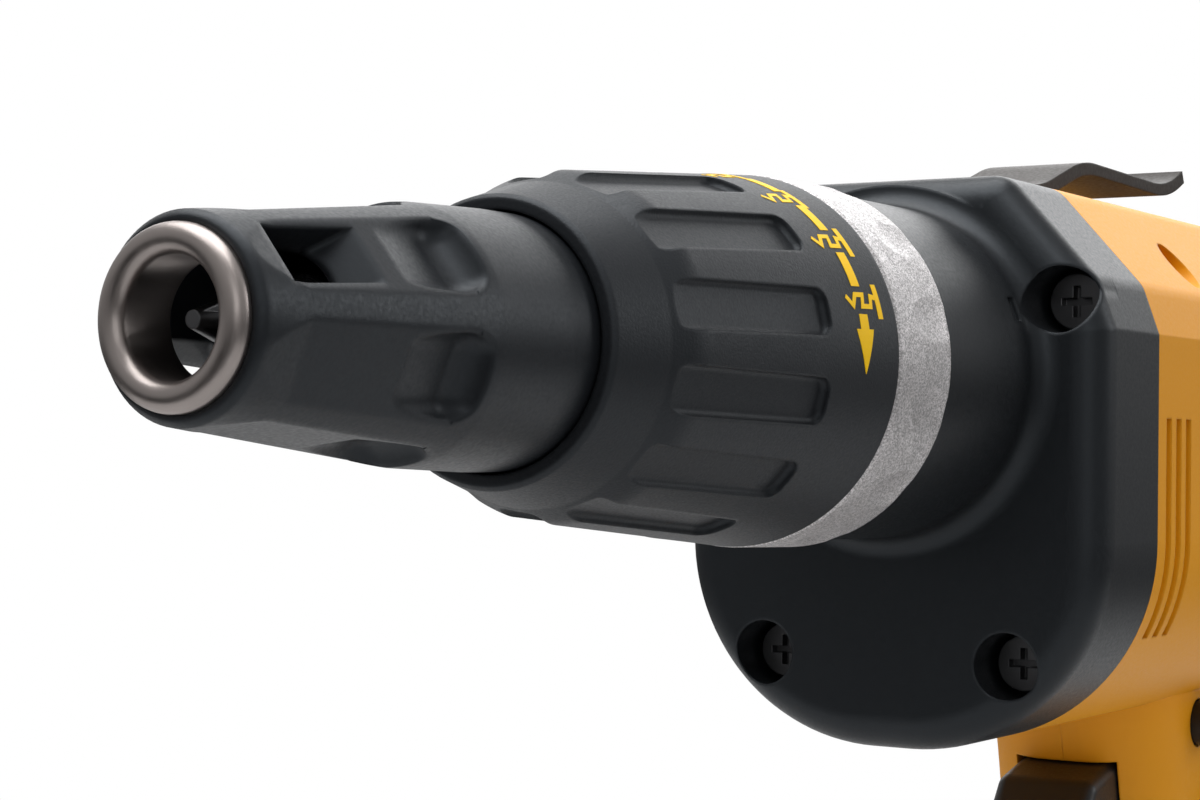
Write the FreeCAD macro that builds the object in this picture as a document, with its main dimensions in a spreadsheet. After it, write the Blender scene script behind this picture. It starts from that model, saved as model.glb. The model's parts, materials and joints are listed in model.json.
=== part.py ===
import FreeCAD, Part
import math
import os
import re
import Sketcher

# A drywall screwdriver: depth-setting nose, clutch and gear end, mains motor and pistol housing.
# The frame has x running back along the spindle from the steel nose ring, y to the tool's right and z up.

os.makedirs("parts", exist_ok=True)
NEAR = 1e-3
STRAIGHT_SHARE = 0.999
doc = FreeCAD.newDocument("DrywallScrewdriver")
sheet = doc.addObject("Spreadsheet::Sheet", "Sheet")

SIZES = {
    # nose ring and cone
    "fit_gap": 0.3,
    "running_fit": 0.05,
    "tip_bore_radius": 5.9,
    "tip_ring_radius": 9.0,
    "tip_lip_length": 1.3,
    "tip_shank_radius": 8.2,
    "tip_ring_length": 6.0,
    "cone_rim_start": 0.4,
    "cone_rim_radius": 10.25,
    "cone_rim_bevel": 0.7,
    "cone_shoulder_x": 34.0,
    "cone_shoulder_radius": 13.9,
    "cone_tail_x": 46.0,
    "cone_tail_radius": 14.3,
    "cone_end_x": 84.0,
    "cone_bore_radius": 7.6,
    "cone_guide_x": 47.0,
    "sleeve_slide_gap": 0.3,
    "flute_count": 6,
    "flute_first_angle": 52.0,
    "flute_start": 1.4,
    "flute_start_height": 10.3,
    "flute_bend_x": 7.0,
    "flute_bend_height": 10.05,
    "flute_end": 30.5,
    "flute_end_height": 12.5,
    "flute_half_width": 7.0,
    "flute_cut_height": 18.0,
    "dimple_front": 21.0,
    "dimple_front_height": 11.4,
    "dimple_floor_x": 29.0,
    "dimple_floor_height": 10.7,
    "dimple_rear": 32.8,
    "dimple_rear_height": 14.6,
    "dimple_half_width": 4.9,
    "dimple_side_round": 2.4,
    "window_front": 5.0,
    "window_floor_end": 11.5,
    "window_ramp_end": 24.0,
    "window_half": 3.5,
    "window_floor": 4.0,
    "key_half_width": 1.5,
    "key_height": 1.4,
    "key_start": 60.0,
    "key_end": 88.0,
    # depth collar
    "collar_start": 51.0,
    "collar_bevel": 0.5,
    "lip_radius": 16.4,
    "rib_root_x": 59.2,
    "rib_root_radius": 18.5,
    "rib_crest_x": 63.0,
    "rib_crest_radius": 20.2,
    "rib_nose_round": 8.0,
    "collar_end": 105.0,
    "collar_end_radius": 23.8,
    "pocket_count": 13,
    "pocket_first_angle": 49.3,
    "pocket_start": 54.0,
    "pocket_end": 90.0,
    "pocket_half_width": 2.9,
    "pocket_corner_radius": 1.8,
    "pocket_depth": 1.1,
    "pocket_edge_radius": 0.8,
    "collar_room_start": 88.5,
    "pocket_cut_height": 6.0,
    # nose sleeve, silver ring and their small parts
    "sleeve_start": 56.0,
    "sleeve_radius": 10.6,
    "sleeve_bore_radius": 8.6,
    "hub_start": 89.4,
    "hub_radius": 18.7,
    "hub_end": 119.7,
    "socket_start": 101.0,
    "ring_start": 105.3,
    "ring_end": 120.0,
    "ring_front_radius": 23.9,
    "ring_rear_radius": 24.2,
    "ring_bevel": 0.5,
    "scallop_count": 13,
    "scallop_start": 108.0,
    "scallop_end": 121.6,
    "scallop_radius": 22.0,
    "scallop_fade": 0.7,
    "scallop_depth": 0.5,
    "washer_thickness": 0.6,
    "washer_inner_radius": 15.0,
    "washer_outer_radius": 18.4,
    # gear case
    "spigot_start": 101.4,
    "spigot_radius": 15.3,
    "oring_x": 110.0,
    "oring_wire_radius": 0.9,
    "neck_start": 121.0,
    "neck_radius": 23.5,
    "neck_fillet": 3.4,
    "notch_angle": 69.0,
    "notch_start": 144.2,
    "notch_end": 146.4,
    "notch_half_width": 1.7,
    "notch_depth": 0.8,
    "body_front": 150.0,
    "seam_x": 172.0,
    "neck_bore_radius": 13.5,
    "neck_bore_start": 118.0,
    "gear_room_radius": 19.5,
    "gear_room_start": 149.4,
    "pinion_room_radius": 8.5,
    "pinion_room_start": 152.0,
    "plate_room_radius": 24.0,
    "motor_drop": 21.0,
    "barrel_radius": 33.0,
    "barrel_depth": "=motor_drop + barrel_radius",
    "barrel_corner_share": 0.91,
    "barrel_corner_round": "=barrel_radius * barrel_corner_share",
    "shoulder_z": 6.0,
    "chamfer_low_inset": 2.5,
    "chamfer_low_z": 13.0,
    "chamfer_high_inset": 16.0,
    "barrel_top": 28.0,
    "body_front_round": 5.0,
    "body_side_round": 5.0,
    "case_screw_upper_inset": 6.6,
    "case_screw_upper_y": "=barrel_radius - case_screw_upper_inset",
    "case_screw_upper_z": 10.0,
    "case_screw_lower_inset": 14.0,
    "case_screw_lower_y": "=barrel_radius - case_screw_lower_inset",
    "case_screw_lower_rise": 13.0,
    "case_screw_lower_z": "=barrel_depth - case_screw_lower_rise",
    "counterbore_radius": 4.7,
    "counterbore_end": 160.0,
    "case_screw_head_radius": 3.9,
    "case_screw_head_length": 3.2,
    "case_screw_radius": 2.0,
    "case_screw_end": 184.0,
    "recess_half_width": 0.5,
    "recess_reach": 2.2,
    "recess_depth": 1.6,
    # spindle, bit and clutch
    "bush_radius": 9.0,
    "bush_start": 103.0,
    "bush_end": 117.6,
    "seal_bore_gap": 0.3,
    "spindle_start": 91.0,
    "spindle_radius": 6.0,
    "flange_start": 136.0,
    "flange_end": 140.0,
    "flange_radius": 12.5,
    "press_travel": 3.0,
    "tail_radius": 5.0,
    "tail_end": 166.5,
    "dog_count": 3,
    "dog_height": 3.0,
    "dog_half_width": 2.4,
    "dog_inner_radius": 9.9,
    "gear_dog_tip": 146.6,
    "shank_flats": 6.35,
    "shank_play": 0.1,
    "spindle_socket_end": 108.0,
    "holder_shank_end": 107.0,
    "holder_start": 17.0,
    "holder_radius": 5.3,
    "holder_end": 90.8,
    "holder_bevel": 0.8,
    "bit_socket_end": 29.0,
    "magnet_end": 33.0,
    "magnet_radius": 2.9,
    "bit_ring_x": 21.0,
    "bit_ring_width": 1.2,
    "bit_ring_depth": 0.6,
    "bit_ring_gap": 3.0,
    "bit_tip_x": 2.5,
    "bit_tip_radius": 0.9,
    "bit_cone_end": 9.0,
    "bit_neck_radius": 2.9,
    "bit_hex_start": 14.0,
    "bit_end": 28.8,
    "bit_groove_offset": 0.75,
    "bit_groove_size": 3.0,
    "clutch_wire_radius": 0.55,
    "clutch_coil_radius": 8.3,
    "clutch_turns": 4,
    "spring_end_gap": 0.3,
    "coil_steps": 10,
    "coil_sides": 6,
    # gear train
    "gear_module": 1.0,
    "gear_teeth": 34,
    "pinion_teeth": 8,
    "gear_start": 152.0,
    "gear_end": 160.0,
    "gear_front_hub_radius": 9.5,
    "gear_front_hub_start": 150.4,
    "gear_rear_hub_radius": 8.0,
    "gear_rear_hub_end": 163.3,
    "tooth_root_half": 0.88,
    "tooth_tip_half": 0.28,
    "tooth_sink": 0.4,
    "root_clearance_share": 1.25,
    "thrust_radius": 9.5,
    "thrust_thickness": 0.9,
    "plate_start": 164.5,
    "plate_end": 171.5,
    "plate_fit": 0.2,
    # motor
    "bearing_radius": 11.0,
    "shaft_radius": 4.0,
    "shaft_nose_radius": 2.0,
    "shaft_start": 152.4,
    "pinion_start": 152.4,
    "pinion_end": 163.6,
    "shaft_rear_step": 251.0,
    "shaft_rear_radius": 3.5,
    "shaft_end": 261.0,
    "rear_bearing_radius": 9.5,
    "rear_bearing_start": 253.0,
    "rear_bearing_end": 259.0,
    "bearing_groove_depth": 0.6,
    "bearing_ring_share": 0.3,
    "fan_start": 175.0,
    "fan_plate_end": 177.0,
    "fan_end": 185.0,
    "fan_radius": 21.5,
    "fan_hub_radius": 7.0,
    "fan_blade_count": 12,
    "fan_blade_half": 0.7,
    "core_start": 193.0,
    "core_end": 227.0,
    "core_share": 0.515,
    "core_radius": "=barrel_radius * core_share",
    "core_slot_count": 12,
    "core_slot_half": 1.1,
    "core_slot_floor": 12.0,
    "winding_front": 187.0,
    "winding_rear": 236.0,
    "winding_step": 1.5,
    "winding_radius": "=core_radius - winding_step",
    "winding_inner_radius": 6.0,
    "winding_bevel": 2.5,
    "commutator_start": 238.0,
    "commutator_end": 250.0,
    "commutator_radius": 10.5,
    "commutator_slot_half": 0.3,
    "commutator_slot_depth": 0.8,
    "air_gap": 0.6,
    "field_winding_front": 187.5,
    "field_winding_rear": 233.0,
    "field_winding_inner": "=core_radius + winding_step",
    "field_winding_step": 2.7,
    "brush_x": 244.0,
    "brush_half_length": 3.4,
    "brush_half_height": 3.0,
    "brush_outer_y": 21.0,
    "brush_wall": 1.4,
    "brush_holder_inner_y": 12.6,
    "brush_wire_radius": 0.3,
    "brush_coil_radius": 2.3,
    "brush_turns": 5,
    # housing barrel
    "wall": 3.0,
    "barrel_end": 268.0,
    "barrel_end_round": 10.0,
    "barrel_room_end": 252.0,
    "bearing_room_end": 259.4,
    "shaft_room_end": 262.5,
    "shaft_room_radius": 6.0,
    "boss_radius": 4.3,
    "boss_end": 187.0,
    "vent_count": 5,
    "outlet_count": 3,
    "vent_first_x": 231.0,
    "vent_pitch": 4.2,
    "vent_half_width": 1.1,
    "vent_low_z": -38.0,
    "vent_high_z": -6.0,
    "outlet_first_x": 176.5,
    # handle, in its own leaning frame with z running up along it
    "handle_x": 238.0,
    "handle_root_rise": 9.0,
    "handle_z": "=handle_root_rise - motor_drop - barrel_radius",
    "handle_lean": 14.0,
    "handle_half_depth": 23.0,
    "handle_half_width": 17.0,
    "handle_above": 14.0,
    "handle_below": 115.0,
    "handle_round": 13.0,
    "neck_level": 30.0,
    "neck_half_depth": 21.5,
    "neck_half_width": 16.5,
    "neck_shift": -0.5,
    "palm_level": 70.0,
    "palm_half_depth": 23.5,
    "palm_half_width": 18.0,
    "palm_shift": 0.5,
    "foot_half_depth": 24.5,
    "foot_half_width": 17.5,
    "foot_shift": 3.5,
    "foot_floor": 4.0,
    "grip_thickness": 2.4,
    "grip_top": 48.0,
    "grip_foot_gap": 7.0,
    "grip_bottom": "=handle_below - grip_foot_gap",
    "grip_groove_count": 9,
    "grip_groove_first": 58.0,
    "grip_groove_pitch": 5.0,
    "grip_groove_half": 0.7,
    "grip_groove_floor": 1.5,
    "grip_groove_front": 4.0,
    "trigger_half_width": 8.5,
    "trigger_top": 12.6,
    "trigger_bottom": 44.0,
    "trigger_rear": 15.0,
    "trigger_upper_front": 30.0,
    "trigger_nose_front": 35.0,
    "trigger_nose_drop": 4.0,
    "trigger_waist_front": 31.5,
    "trigger_waist_drop": 15.0,
    "trigger_foot_front": 34.0,
    "trigger_foot_rise": 3.0,
    "trigger_heel_front": 29.0,
    "trigger_round": 2.0,
    "trigger_corner_round": 3.0,
    "switch_front": 8.0,
    "switch_rear": 14.0,
    "switch_half_width": 11.0,
    "switch_top": 16.2,
    "switch_bottom": 43.0,
    "switch_ear": 3.0,
    "trigger_wire_radius": 0.4,
    "trigger_coil_radius": 3.2,
    "trigger_turns": 4,
    "lock_x": 3.0,
    "lock_z": 28.0,
    "lock_radius": 4.5,
    "lock_outer_y": 19.4,
    "lock_inner_y": 14.2,
    "reverse_x": 1.0,
    "reverse_z": 11.6,
    "reverse_radius": 3.8,
    "reverse_half_length": 20.5,
    "button_round": 0.8,
    "inlet_bore_radius": 4.0,
    "inlet_neck_radius": 6.5,
    "inlet_flange_radius": 9.0,
    "inlet_flange_length": 3.0,
    "clamp_half_length": 13.0,
    "clamp_height": 6.0,
    "clamp_rise": 14.0,
    "clamp_bottom": "=handle_below - clamp_rise",
    "clamp_top": "=clamp_bottom - clamp_height",
    "clamp_thickness": 3.0,
    "clamp_seat_y": 6.0,
    "clamp_screw_x": 9.0,
    "clamp_screw_radius": 1.5,
    "clamp_head_radius": 2.8,
    "clamp_head_length": 2.0,
    "clamp_screw_depth": 6.0,
    # housing screws
    "joint_screw_radius": 1.7,
    "joint_head_radius": 3.2,
    "joint_head_length": 2.4,
    "joint_boss_radius": 4.0,
    "joint_seat_y": 10.0,
    "joint_screw_tip_y": 12.0,
    "joint_front_x": 200.0,
    "joint_rear_x": 245.0,
    "joint_barrel_z": 18.0,
    "joint_handle_x": 15.0,
    "joint_upper_z": 60.0,
    "joint_lower_rise": 31.0,
    "joint_lower_z": "=handle_below - joint_lower_rise",
    # belt hook
    "hook_half_width": 8.0,
    "hook_thickness": 2.0,
    "hook_foot_front": 177.0,
    "hook_foot_rear": 189.0,
    "hook_rise_x": 207.0,
    "hook_gap": 6.0,
    "hook_bend": 30.0,
    "hook_tail_x": 246.0,
    "hook_tail_gap": 5.5,
    "hook_tip_x": 254.0,
    "hook_tip_gap": 9.0,
    "hook_screw_x": 183.5,
    "hook_screw_y": 4.8,
    "hook_screw_radius": 1.5,
    "hook_head_radius": 2.7,
    "hook_head_length": 1.2,
    "hook_boss_radius": 3.6,
    "hook_boss_depth": 9.0,
}

row = 0
for name, number in SIZES.items():
    row += 1
    sheet.set(f"A{row}", str(number))
    sheet.setAlias(f"A{row}", name)
doc.recompute()


def in_sheet(text):
    """Point every size named in an expression at its cell."""
    def full(word):
        return f"Sheet.{word.group()}" if word.group() in SIZES else word.group()

    return re.sub(r"[a-z_]+", full, text)


def value(text):
    return float(sheet.evalExpression(in_sheet(text)))


def bind(thing, prop, text):
    thing.setExpression(prop, in_sheet(text))


def on_motor(thing):
    bind(thing, "Placement.Base.z", "-motor_drop")
    return thing


def on_handle(thing):
    lean = FreeCAD.Rotation(FreeCAD.Vector(0, 1, 0), -value("handle_lean"))
    thing.Placement = FreeCAD.Placement(FreeCAD.Vector(value("handle_x"), 0, value("handle_z")), lean)
    bind(thing, "Placement.Base.x", "handle_x")
    bind(thing, "Placement.Base.z", "handle_z")
    return thing


def new_body(label):
    body = doc.addObject("PartDesign::Body", label)
    body.Label = label
    return body


def new_sketch(body, role, lift):
    sketch = body.newObject("Sketcher::SketchObject", body.Name + "_sketch")
    plane = next(feature for feature in body.Origin.OriginFeatures if feature.Role == role)
    sketch.AttachmentSupport = [(plane, "")]
    sketch.MapMode = "FlatFace"
    bind(sketch, "AttachmentOffset.Base.z", lift)
    return sketch


def pin_down(sketch, geometry, position, across, upward):
    """Hold one sketch point at a pair of sheet expressions."""
    for kind, axis, text in (("DistanceX", -2, across), ("DistanceY", -1, upward)):
        if text == "0":
            sketch.addConstraint(Sketcher.Constraint("PointOnObject", geometry, position, axis))
            continue
        index = sketch.addConstraint(Sketcher.Constraint(kind, -1, 1, geometry, position, value(text)))
        bind(sketch, f"Constraints[{index}]", text)


def hold_arc(sketch, geometry, kind, text):
    """Fix the bulge of an arc by its radius or by one coordinate of its centre."""
    if text == "0":
        axis = -2 if kind == "DistanceX" else -1
        sketch.addConstraint(Sketcher.Constraint("PointOnObject", geometry, 3, axis))
        return
    if kind == "Radius":
        index = sketch.addConstraint(Sketcher.Constraint(kind, geometry, value(text)))
    else:
        index = sketch.addConstraint(Sketcher.Constraint(kind, -1, 1, geometry, 3, value(text)))
    bind(sketch, f"Constraints[{index}]", text)


def draw_outline(sketch, points, arcs):
    """Close a run of points with lines, or with an arc through a middle point where one is given."""
    places = [FreeCAD.Vector(value(across), value(upward), 0) for across, upward in points]
    starts = []
    for index, place in enumerate(places):
        following = places[(index + 1) % len(places)]
        if index in arcs:
            middle = FreeCAD.Vector(value(arcs[index][0]), value(arcs[index][1]), 0)
            curve = Part.Arc(place, middle, following)
        else:
            curve = Part.LineSegment(place, following)
        geometry = sketch.addGeometry(curve)
        forward = sketch.getPoint(geometry, 1).isEqual(place, NEAR)
        starts.append(1 if forward else 2)
    for index, (across, upward) in enumerate(points):
        before = index - 1 if index else len(points) - 1
        ends = (before, 3 - starts[before], index, starts[index])
        sketch.addConstraint(Sketcher.Constraint("Coincident", *ends))
        pin_down(sketch, index, starts[index], across, upward)
        if index in arcs:
            hold_arc(sketch, index, *arcs[index][2:])


def turned(label, points, arcs=None, axis="H_Axis"):
    """A piece revolved about the x axis, or about z with axis V_Axis, from an outline in the x-z plane."""
    body = new_body(label)
    sketch = new_sketch(body, "XZ_Plane", "0")
    draw_outline(sketch, points, arcs or {})
    turn = body.newObject("PartDesign::Revolution", label + "_turn")
    turn.Profile = sketch
    turn.ReferenceAxis = (sketch, [axis])
    turn.Angle = 360
    doc.recompute()
    return body


def finish_pad(body, sketch, start, end):
    pad = body.newObject("PartDesign::Pad", body.Name + "_pad")
    pad.Profile = sketch
    bind(pad, "Length", f"{end} - ({start})")
    doc.recompute()
    return body


def prism(label, role, points, start, end, arcs=None):
    """An outline on an origin plane carried from start to end along that plane's axis."""
    body = new_body(label)
    lift = f"-({end})" if role == "XZ_Plane" else start
    sketch = new_sketch(body, role, lift)
    draw_outline(sketch, points, arcs or {})
    return finish_pad(body, sketch, start, end)


def rod(label, role, across, upward, radius, start, end):
    body = new_body(label)
    lift = f"-({end})" if role == "XZ_Plane" else start
    sketch = new_sketch(body, role, lift)
    centre = FreeCAD.Vector(value(across), value(upward), 0)
    circle = sketch.addGeometry(Part.Circle(centre, FreeCAD.Vector(0, 0, 1), value(radius)))
    pin_down(sketch, circle, 3, across, upward)
    held = sketch.addConstraint(Sketcher.Constraint("Radius", circle, value(radius)))
    bind(sketch, f"Constraints[{held}]", radius)
    return finish_pad(body, sketch, start, end)


def rectangle(left, right, low, high):
    return [(left, low), (right, low), (right, high), (left, high)]


def hexagon(flats):
    return [(f"({flats}) / 2 / cos(30 deg) * cos({60 * side} deg)",
             f"({flats}) / 2 / cos(30 deg) * sin({60 * side} deg)") for side in range(6)]


def rounded(body, radius, wanted):
    """Round the edges of a body that pass the test."""
    names = [f"Edge{number}" for number, edge in enumerate(body.Shape.Edges, 1) if wanted(edge)]
    fillet = body.newObject("PartDesign::Fillet", body.Name + "_round")
    fillet.Base = (body.Group[-2], names)
    bind(fillet, "Radius", radius)
    doc.recompute()
    return body


def along(edge, axis):
    """True for a straight edge that runs along one axis of its body."""
    if len(edge.Vertexes) < 2 or edge.Curve.TypeId != "Part::GeomLine":
        return False
    run = edge.Vertexes[1].Point - edge.Vertexes[0].Point
    return abs(run[axis]) > STRAIGHT_SHARE * run.Length


def level(edge, axis, place):
    """True for an edge that lies wholly in one plane square to an axis."""
    box = edge.BoundBox
    low, high = ((box.XMin, box.XMax), (box.YMin, box.YMax), (box.ZMin, box.ZMax))[axis]
    return abs(low - place) < NEAR and abs(high - place) < NEAR


def joined(label, pieces):
    fusion = doc.addObject("Part::MultiFuse", label)
    fusion.Shapes = pieces
    fusion.Refine = True
    fusion.Label = label
    doc.recompute()
    return fusion


def less(label, base, tools):
    tool = tools[0] if len(tools) == 1 else joined(label + "_cutters", tools)
    result = doc.addObject("Part::Cut", label)
    result.Base = base
    result.Tool = tool
    result.Label = label
    doc.recompute()
    return result


def shared(label, base, tool):
    result = doc.addObject("Part::Common", label)
    result.Base = base
    result.Tool = tool
    result.Label = label
    doc.recompute()
    return result


def fixed_shape(label, shape):
    feature = doc.addObject("Part::Feature", label)
    feature.Shape = shape
    feature.Label = label
    return feature


def round_the_axis(label, source, angles):
    """Copies of one piece turned about the spindle axis."""
    centre = FreeCAD.Vector(0, 0, 0)
    along_x = FreeCAD.Vector(1, 0, 0)
    copies = [source.Shape.rotated(centre, along_x, angle) for angle in angles]
    return fixed_shape(label, Part.makeCompound(copies))


def turns(count, first="0"):
    """Even angles round the axis."""
    number = int(value(count))
    return [value(first) + step * 360 / number for step in range(number)]


def both_sides(label, source):
    """A piece and its mirror image across the tool's middle plane."""
    centre = FreeCAD.Vector(0, 0, 0)
    across = FreeCAD.Vector(0, 1, 0)
    return fixed_shape(label, Part.makeCompound([source.Shape, source.Shape.mirror(centre, across)]))


def coil(label, start, end, coil_radius, wire_radius, turn_count):
    """A spring along x between two places, its wire bent in short straight steps."""
    steps = int(value("coil_steps * " + turn_count))
    radius = value(coil_radius)
    first = value(f"{start} + {wire_radius}")
    advance = value(f"{end} - ({start}) - 2 * {wire_radius}") / steps
    places = []
    for step in range(steps + 1):
        angle = math.radians(step * 360 / value("coil_steps"))
        across = radius * math.cos(angle)
        places.append(FreeCAD.Vector(first + step * advance, across, radius * math.sin(angle)))
    heading = places[1] - places[0]
    out = FreeCAD.Vector(0, 1, 0).cross(heading).normalize() * value(wire_radius)
    sides = int(value("coil_sides"))
    corners = []
    for side in range(sides + 1):
        corners.append(places[0] + FreeCAD.Rotation(heading, side * 360 / sides).multVec(out))
    section = Part.makePolygon(corners)
    return fixed_shape(label, Part.makePolygon(places).makePipeShell([section], True, True, 1))


# Steel ring at the nose: a full round front and a shank pressed into the cone.
turned("tip_ring", [("0", "tip_bore_radius"), ("0", "tip_ring_radius"), ("tip_lip_length", "tip_ring_radius"),
                    ("tip_lip_length", "tip_shank_radius"), ("tip_ring_length", "tip_shank_radius"),
                    ("tip_ring_length", "tip_bore_radius")],
       {0: ("(tip_bore_radius - tip_ring_radius) / 2", "(tip_bore_radius + tip_ring_radius) / 2",
            "DistanceX", "0")})

# Nose cone: six tapered flats end in thumb-shaped dimples, and two opposite flats are open to the bore.
cone_blank = turned("cone_blank", [
    ("cone_rim_start", "tip_ring_radius + running_fit"),
    ("cone_rim_start", "cone_rim_radius - cone_rim_bevel"),
    ("cone_rim_start + cone_rim_bevel", "cone_rim_radius"), ("cone_shoulder_x", "cone_shoulder_radius"),
    ("cone_tail_x", "cone_tail_radius"), ("cone_end_x", "cone_tail_radius"),
    ("cone_end_x", "sleeve_radius + sleeve_slide_gap"), ("cone_guide_x", "sleeve_radius + sleeve_slide_gap"),
    ("cone_guide_x - sleeve_slide_gap - sleeve_radius + cone_bore_radius", "cone_bore_radius"),
    ("tip_ring_length", "cone_bore_radius"), ("tip_ring_length", "tip_shank_radius"),
    ("tip_lip_length", "tip_shank_radius"), ("tip_lip_length", "tip_ring_radius + running_fit")])
flat_cutter = prism("flat_cutter", "XZ_Plane",
                    [("flute_start", "flute_start_height"), ("flute_bend_x", "flute_bend_height"),
                     ("flute_end", "flute_end_height"), ("flute_end", "flute_cut_height"),
                     ("flute_start", "flute_cut_height")], "-flute_half_width", "flute_half_width")
dimple_rise = "dimple_rear_height - dimple_floor_height"
dimple_cutter = prism("dimple_cutter", "XZ_Plane",
                      [("dimple_front", "dimple_front_height"), ("dimple_floor_x", "dimple_floor_height"),
                       ("dimple_rear", "dimple_rear_height"), ("dimple_rear", "flute_cut_height"),
                       ("dimple_front", "flute_cut_height")], "-dimple_half_width", "dimple_half_width",
                      {1: (f"dimple_rear - ({dimple_rise}) * (1 - sin(45 deg))",
                           f"dimple_floor_height + ({dimple_rise}) * (1 - sin(45 deg))",
                           "Radius", dimple_rise)})
rounded(dimple_cutter, "dimple_side_round",
        lambda edge: edge.BoundBox.YLength < NEAR and edge.BoundBox.ZMax < value("dimple_rear_height") + NEAR)
flute_turns = turns("flute_count", "flute_first_angle")
flats = round_the_axis("flats", flat_cutter, flute_turns)
dimples = round_the_axis("dimples", dimple_cutter, flute_turns)
window_cutter = prism("window_cutter", "XZ_Plane",
                      [("window_front", "window_floor"), ("window_floor_end", "window_floor"),
                       ("window_ramp_end", "flute_cut_height"), ("window_front", "flute_cut_height")],
                      "-window_half", "window_half")
windows = round_the_axis("windows", window_cutter,
                         [value("flute_first_angle"), value("flute_first_angle") + 180])
key_slot = prism("key_slot", "YZ_Plane",
                 rectangle("-sleeve_radius - key_height - fit_gap", "sleeve_radius + key_height + fit_gap",
                           "-key_half_width - fit_gap", "key_half_width + fit_gap"),
                 "cone_guide_x", "cone_end_x")
less("nose_cone", cone_blank, [flats, dimples, windows, key_slot])

# Depth collar: thirteen shallow pockets with closed rear ends leave the finger ribs between them.
collar_blank = turned("collar_blank", [
    ("collar_start", "cone_tail_radius + fit_gap"), ("collar_start", "lip_radius - collar_bevel"),
    ("collar_start + collar_bevel", "lip_radius"), ("rib_root_x", "rib_root_radius"),
    ("rib_crest_x", "rib_crest_radius"), ("collar_end", "collar_end_radius"),
    ("collar_end", "hub_radius + fit_gap"), ("collar_room_start", "hub_radius + fit_gap"),
    ("collar_room_start", "cone_tail_radius + fit_gap")])
rounded(collar_blank, "rib_nose_round", lambda edge: level(edge, 0, value("rib_crest_x")))
pocket_turn = "pocket_corner_radius * (1 - sin(45 deg))"
pocket_cutter = prism("pocket_cutter", "XY_Plane",
                      [("pocket_start", "-pocket_half_width"),
                       ("pocket_end - pocket_corner_radius", "-pocket_half_width"),
                       ("pocket_end", "pocket_corner_radius - pocket_half_width"),
                       ("pocket_end", "pocket_half_width - pocket_corner_radius"),
                       ("pocket_end - pocket_corner_radius", "pocket_half_width"),
                       ("pocket_start", "pocket_half_width")],
                      "-pocket_depth", "pocket_cut_height",
                      {1: (f"pocket_end - {pocket_turn}", f"{pocket_turn} - pocket_half_width",
                           "Radius", "pocket_corner_radius"),
                       3: (f"pocket_end - {pocket_turn}", f"pocket_half_width - {pocket_turn}",
                           "Radius", "pocket_corner_radius")})
rounded(pocket_cutter, "pocket_edge_radius",
        lambda edge: level(edge, 2, -value("pocket_depth"))
        and edge.BoundBox.XMax > value("pocket_start") + NEAR)
rib_run = value("collar_end - rib_crest_x")
rib_rise = value("collar_end_radius - rib_crest_radius")
rib_lean = FreeCAD.Rotation(FreeCAD.Vector(rib_run, 0, 0), FreeCAD.Vector(rib_run, 0, rib_rise))
crest = FreeCAD.Vector(value("rib_crest_x"), 0, value("rib_crest_radius"))
crest_run = FreeCAD.Vector(value("rib_crest_x"), 0, 0)
pocket_cutter.Placement = FreeCAD.Placement(crest - rib_lean.multVec(crest_run), rib_lean)
doc.recompute()
pockets = round_the_axis("pockets", pocket_cutter, turns("pocket_count", "pocket_first_angle"))
less("depth_collar", collar_blank, [pockets])

# Guide sleeve with two keys, the silver ring on its hub and the wave washer that steadies the collar.
sleeve_tube = turned("sleeve_tube", [
    ("sleeve_start", "sleeve_bore_radius"), ("sleeve_start", "sleeve_radius"), ("hub_start", "sleeve_radius"),
    ("hub_start", "hub_radius"), ("hub_end", "hub_radius"), ("hub_end", "spigot_radius + 2 * running_fit"),
    ("socket_start", "spigot_radius + 2 * running_fit"), ("socket_start", "sleeve_bore_radius")])
key_bar = prism("key_bar", "YZ_Plane",
                rectangle("-sleeve_radius - key_height", "sleeve_radius + key_height",
                          "-key_half_width", "key_half_width"), "key_start", "key_end")
key_core = rod("key_core", "YZ_Plane", "0", "0", "(sleeve_radius + sleeve_bore_radius) / 2",
               "key_start", "key_end")
keys = less("keys", key_bar, [key_core])
joined("nose_sleeve", [sleeve_tube, keys])
ring_blank = turned("ring_blank", [
    ("ring_start", "hub_radius"), ("ring_start", "ring_front_radius - ring_bevel"),
    ("ring_start + ring_bevel", "ring_front_radius"), ("ring_end - ring_bevel", "ring_rear_radius"),
    ("ring_end", "ring_rear_radius - ring_bevel"), ("ring_end", "hub_radius")])
scallop_cutter = turned("scallop_cutter", [
    ("scallop_start", "0"), ("scallop_start", "scallop_radius - scallop_fade"),
    ("scallop_end", "scallop_radius - scallop_fade"), ("scallop_end", "0")],
    {1: ("(scallop_start + scallop_end) / 2", "scallop_radius", "Radius",
         "((scallop_end - scallop_start) ^ 2 / 4 + scallop_fade ^ 2) / 2 / scallop_fade")})
bind(scallop_cutter, "Placement.Base.z", "ring_rear_radius + scallop_radius - scallop_depth")
doc.recompute()
scallops = round_the_axis("scallops", scallop_cutter, turns("scallop_count", "pocket_first_angle"))
less("nose_base_ring", ring_blank, [scallops])
turned("collar_wave_washer", rectangle("hub_start - washer_thickness", "hub_start",
                                       "washer_inner_radius", "washer_outer_radius"))

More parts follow.
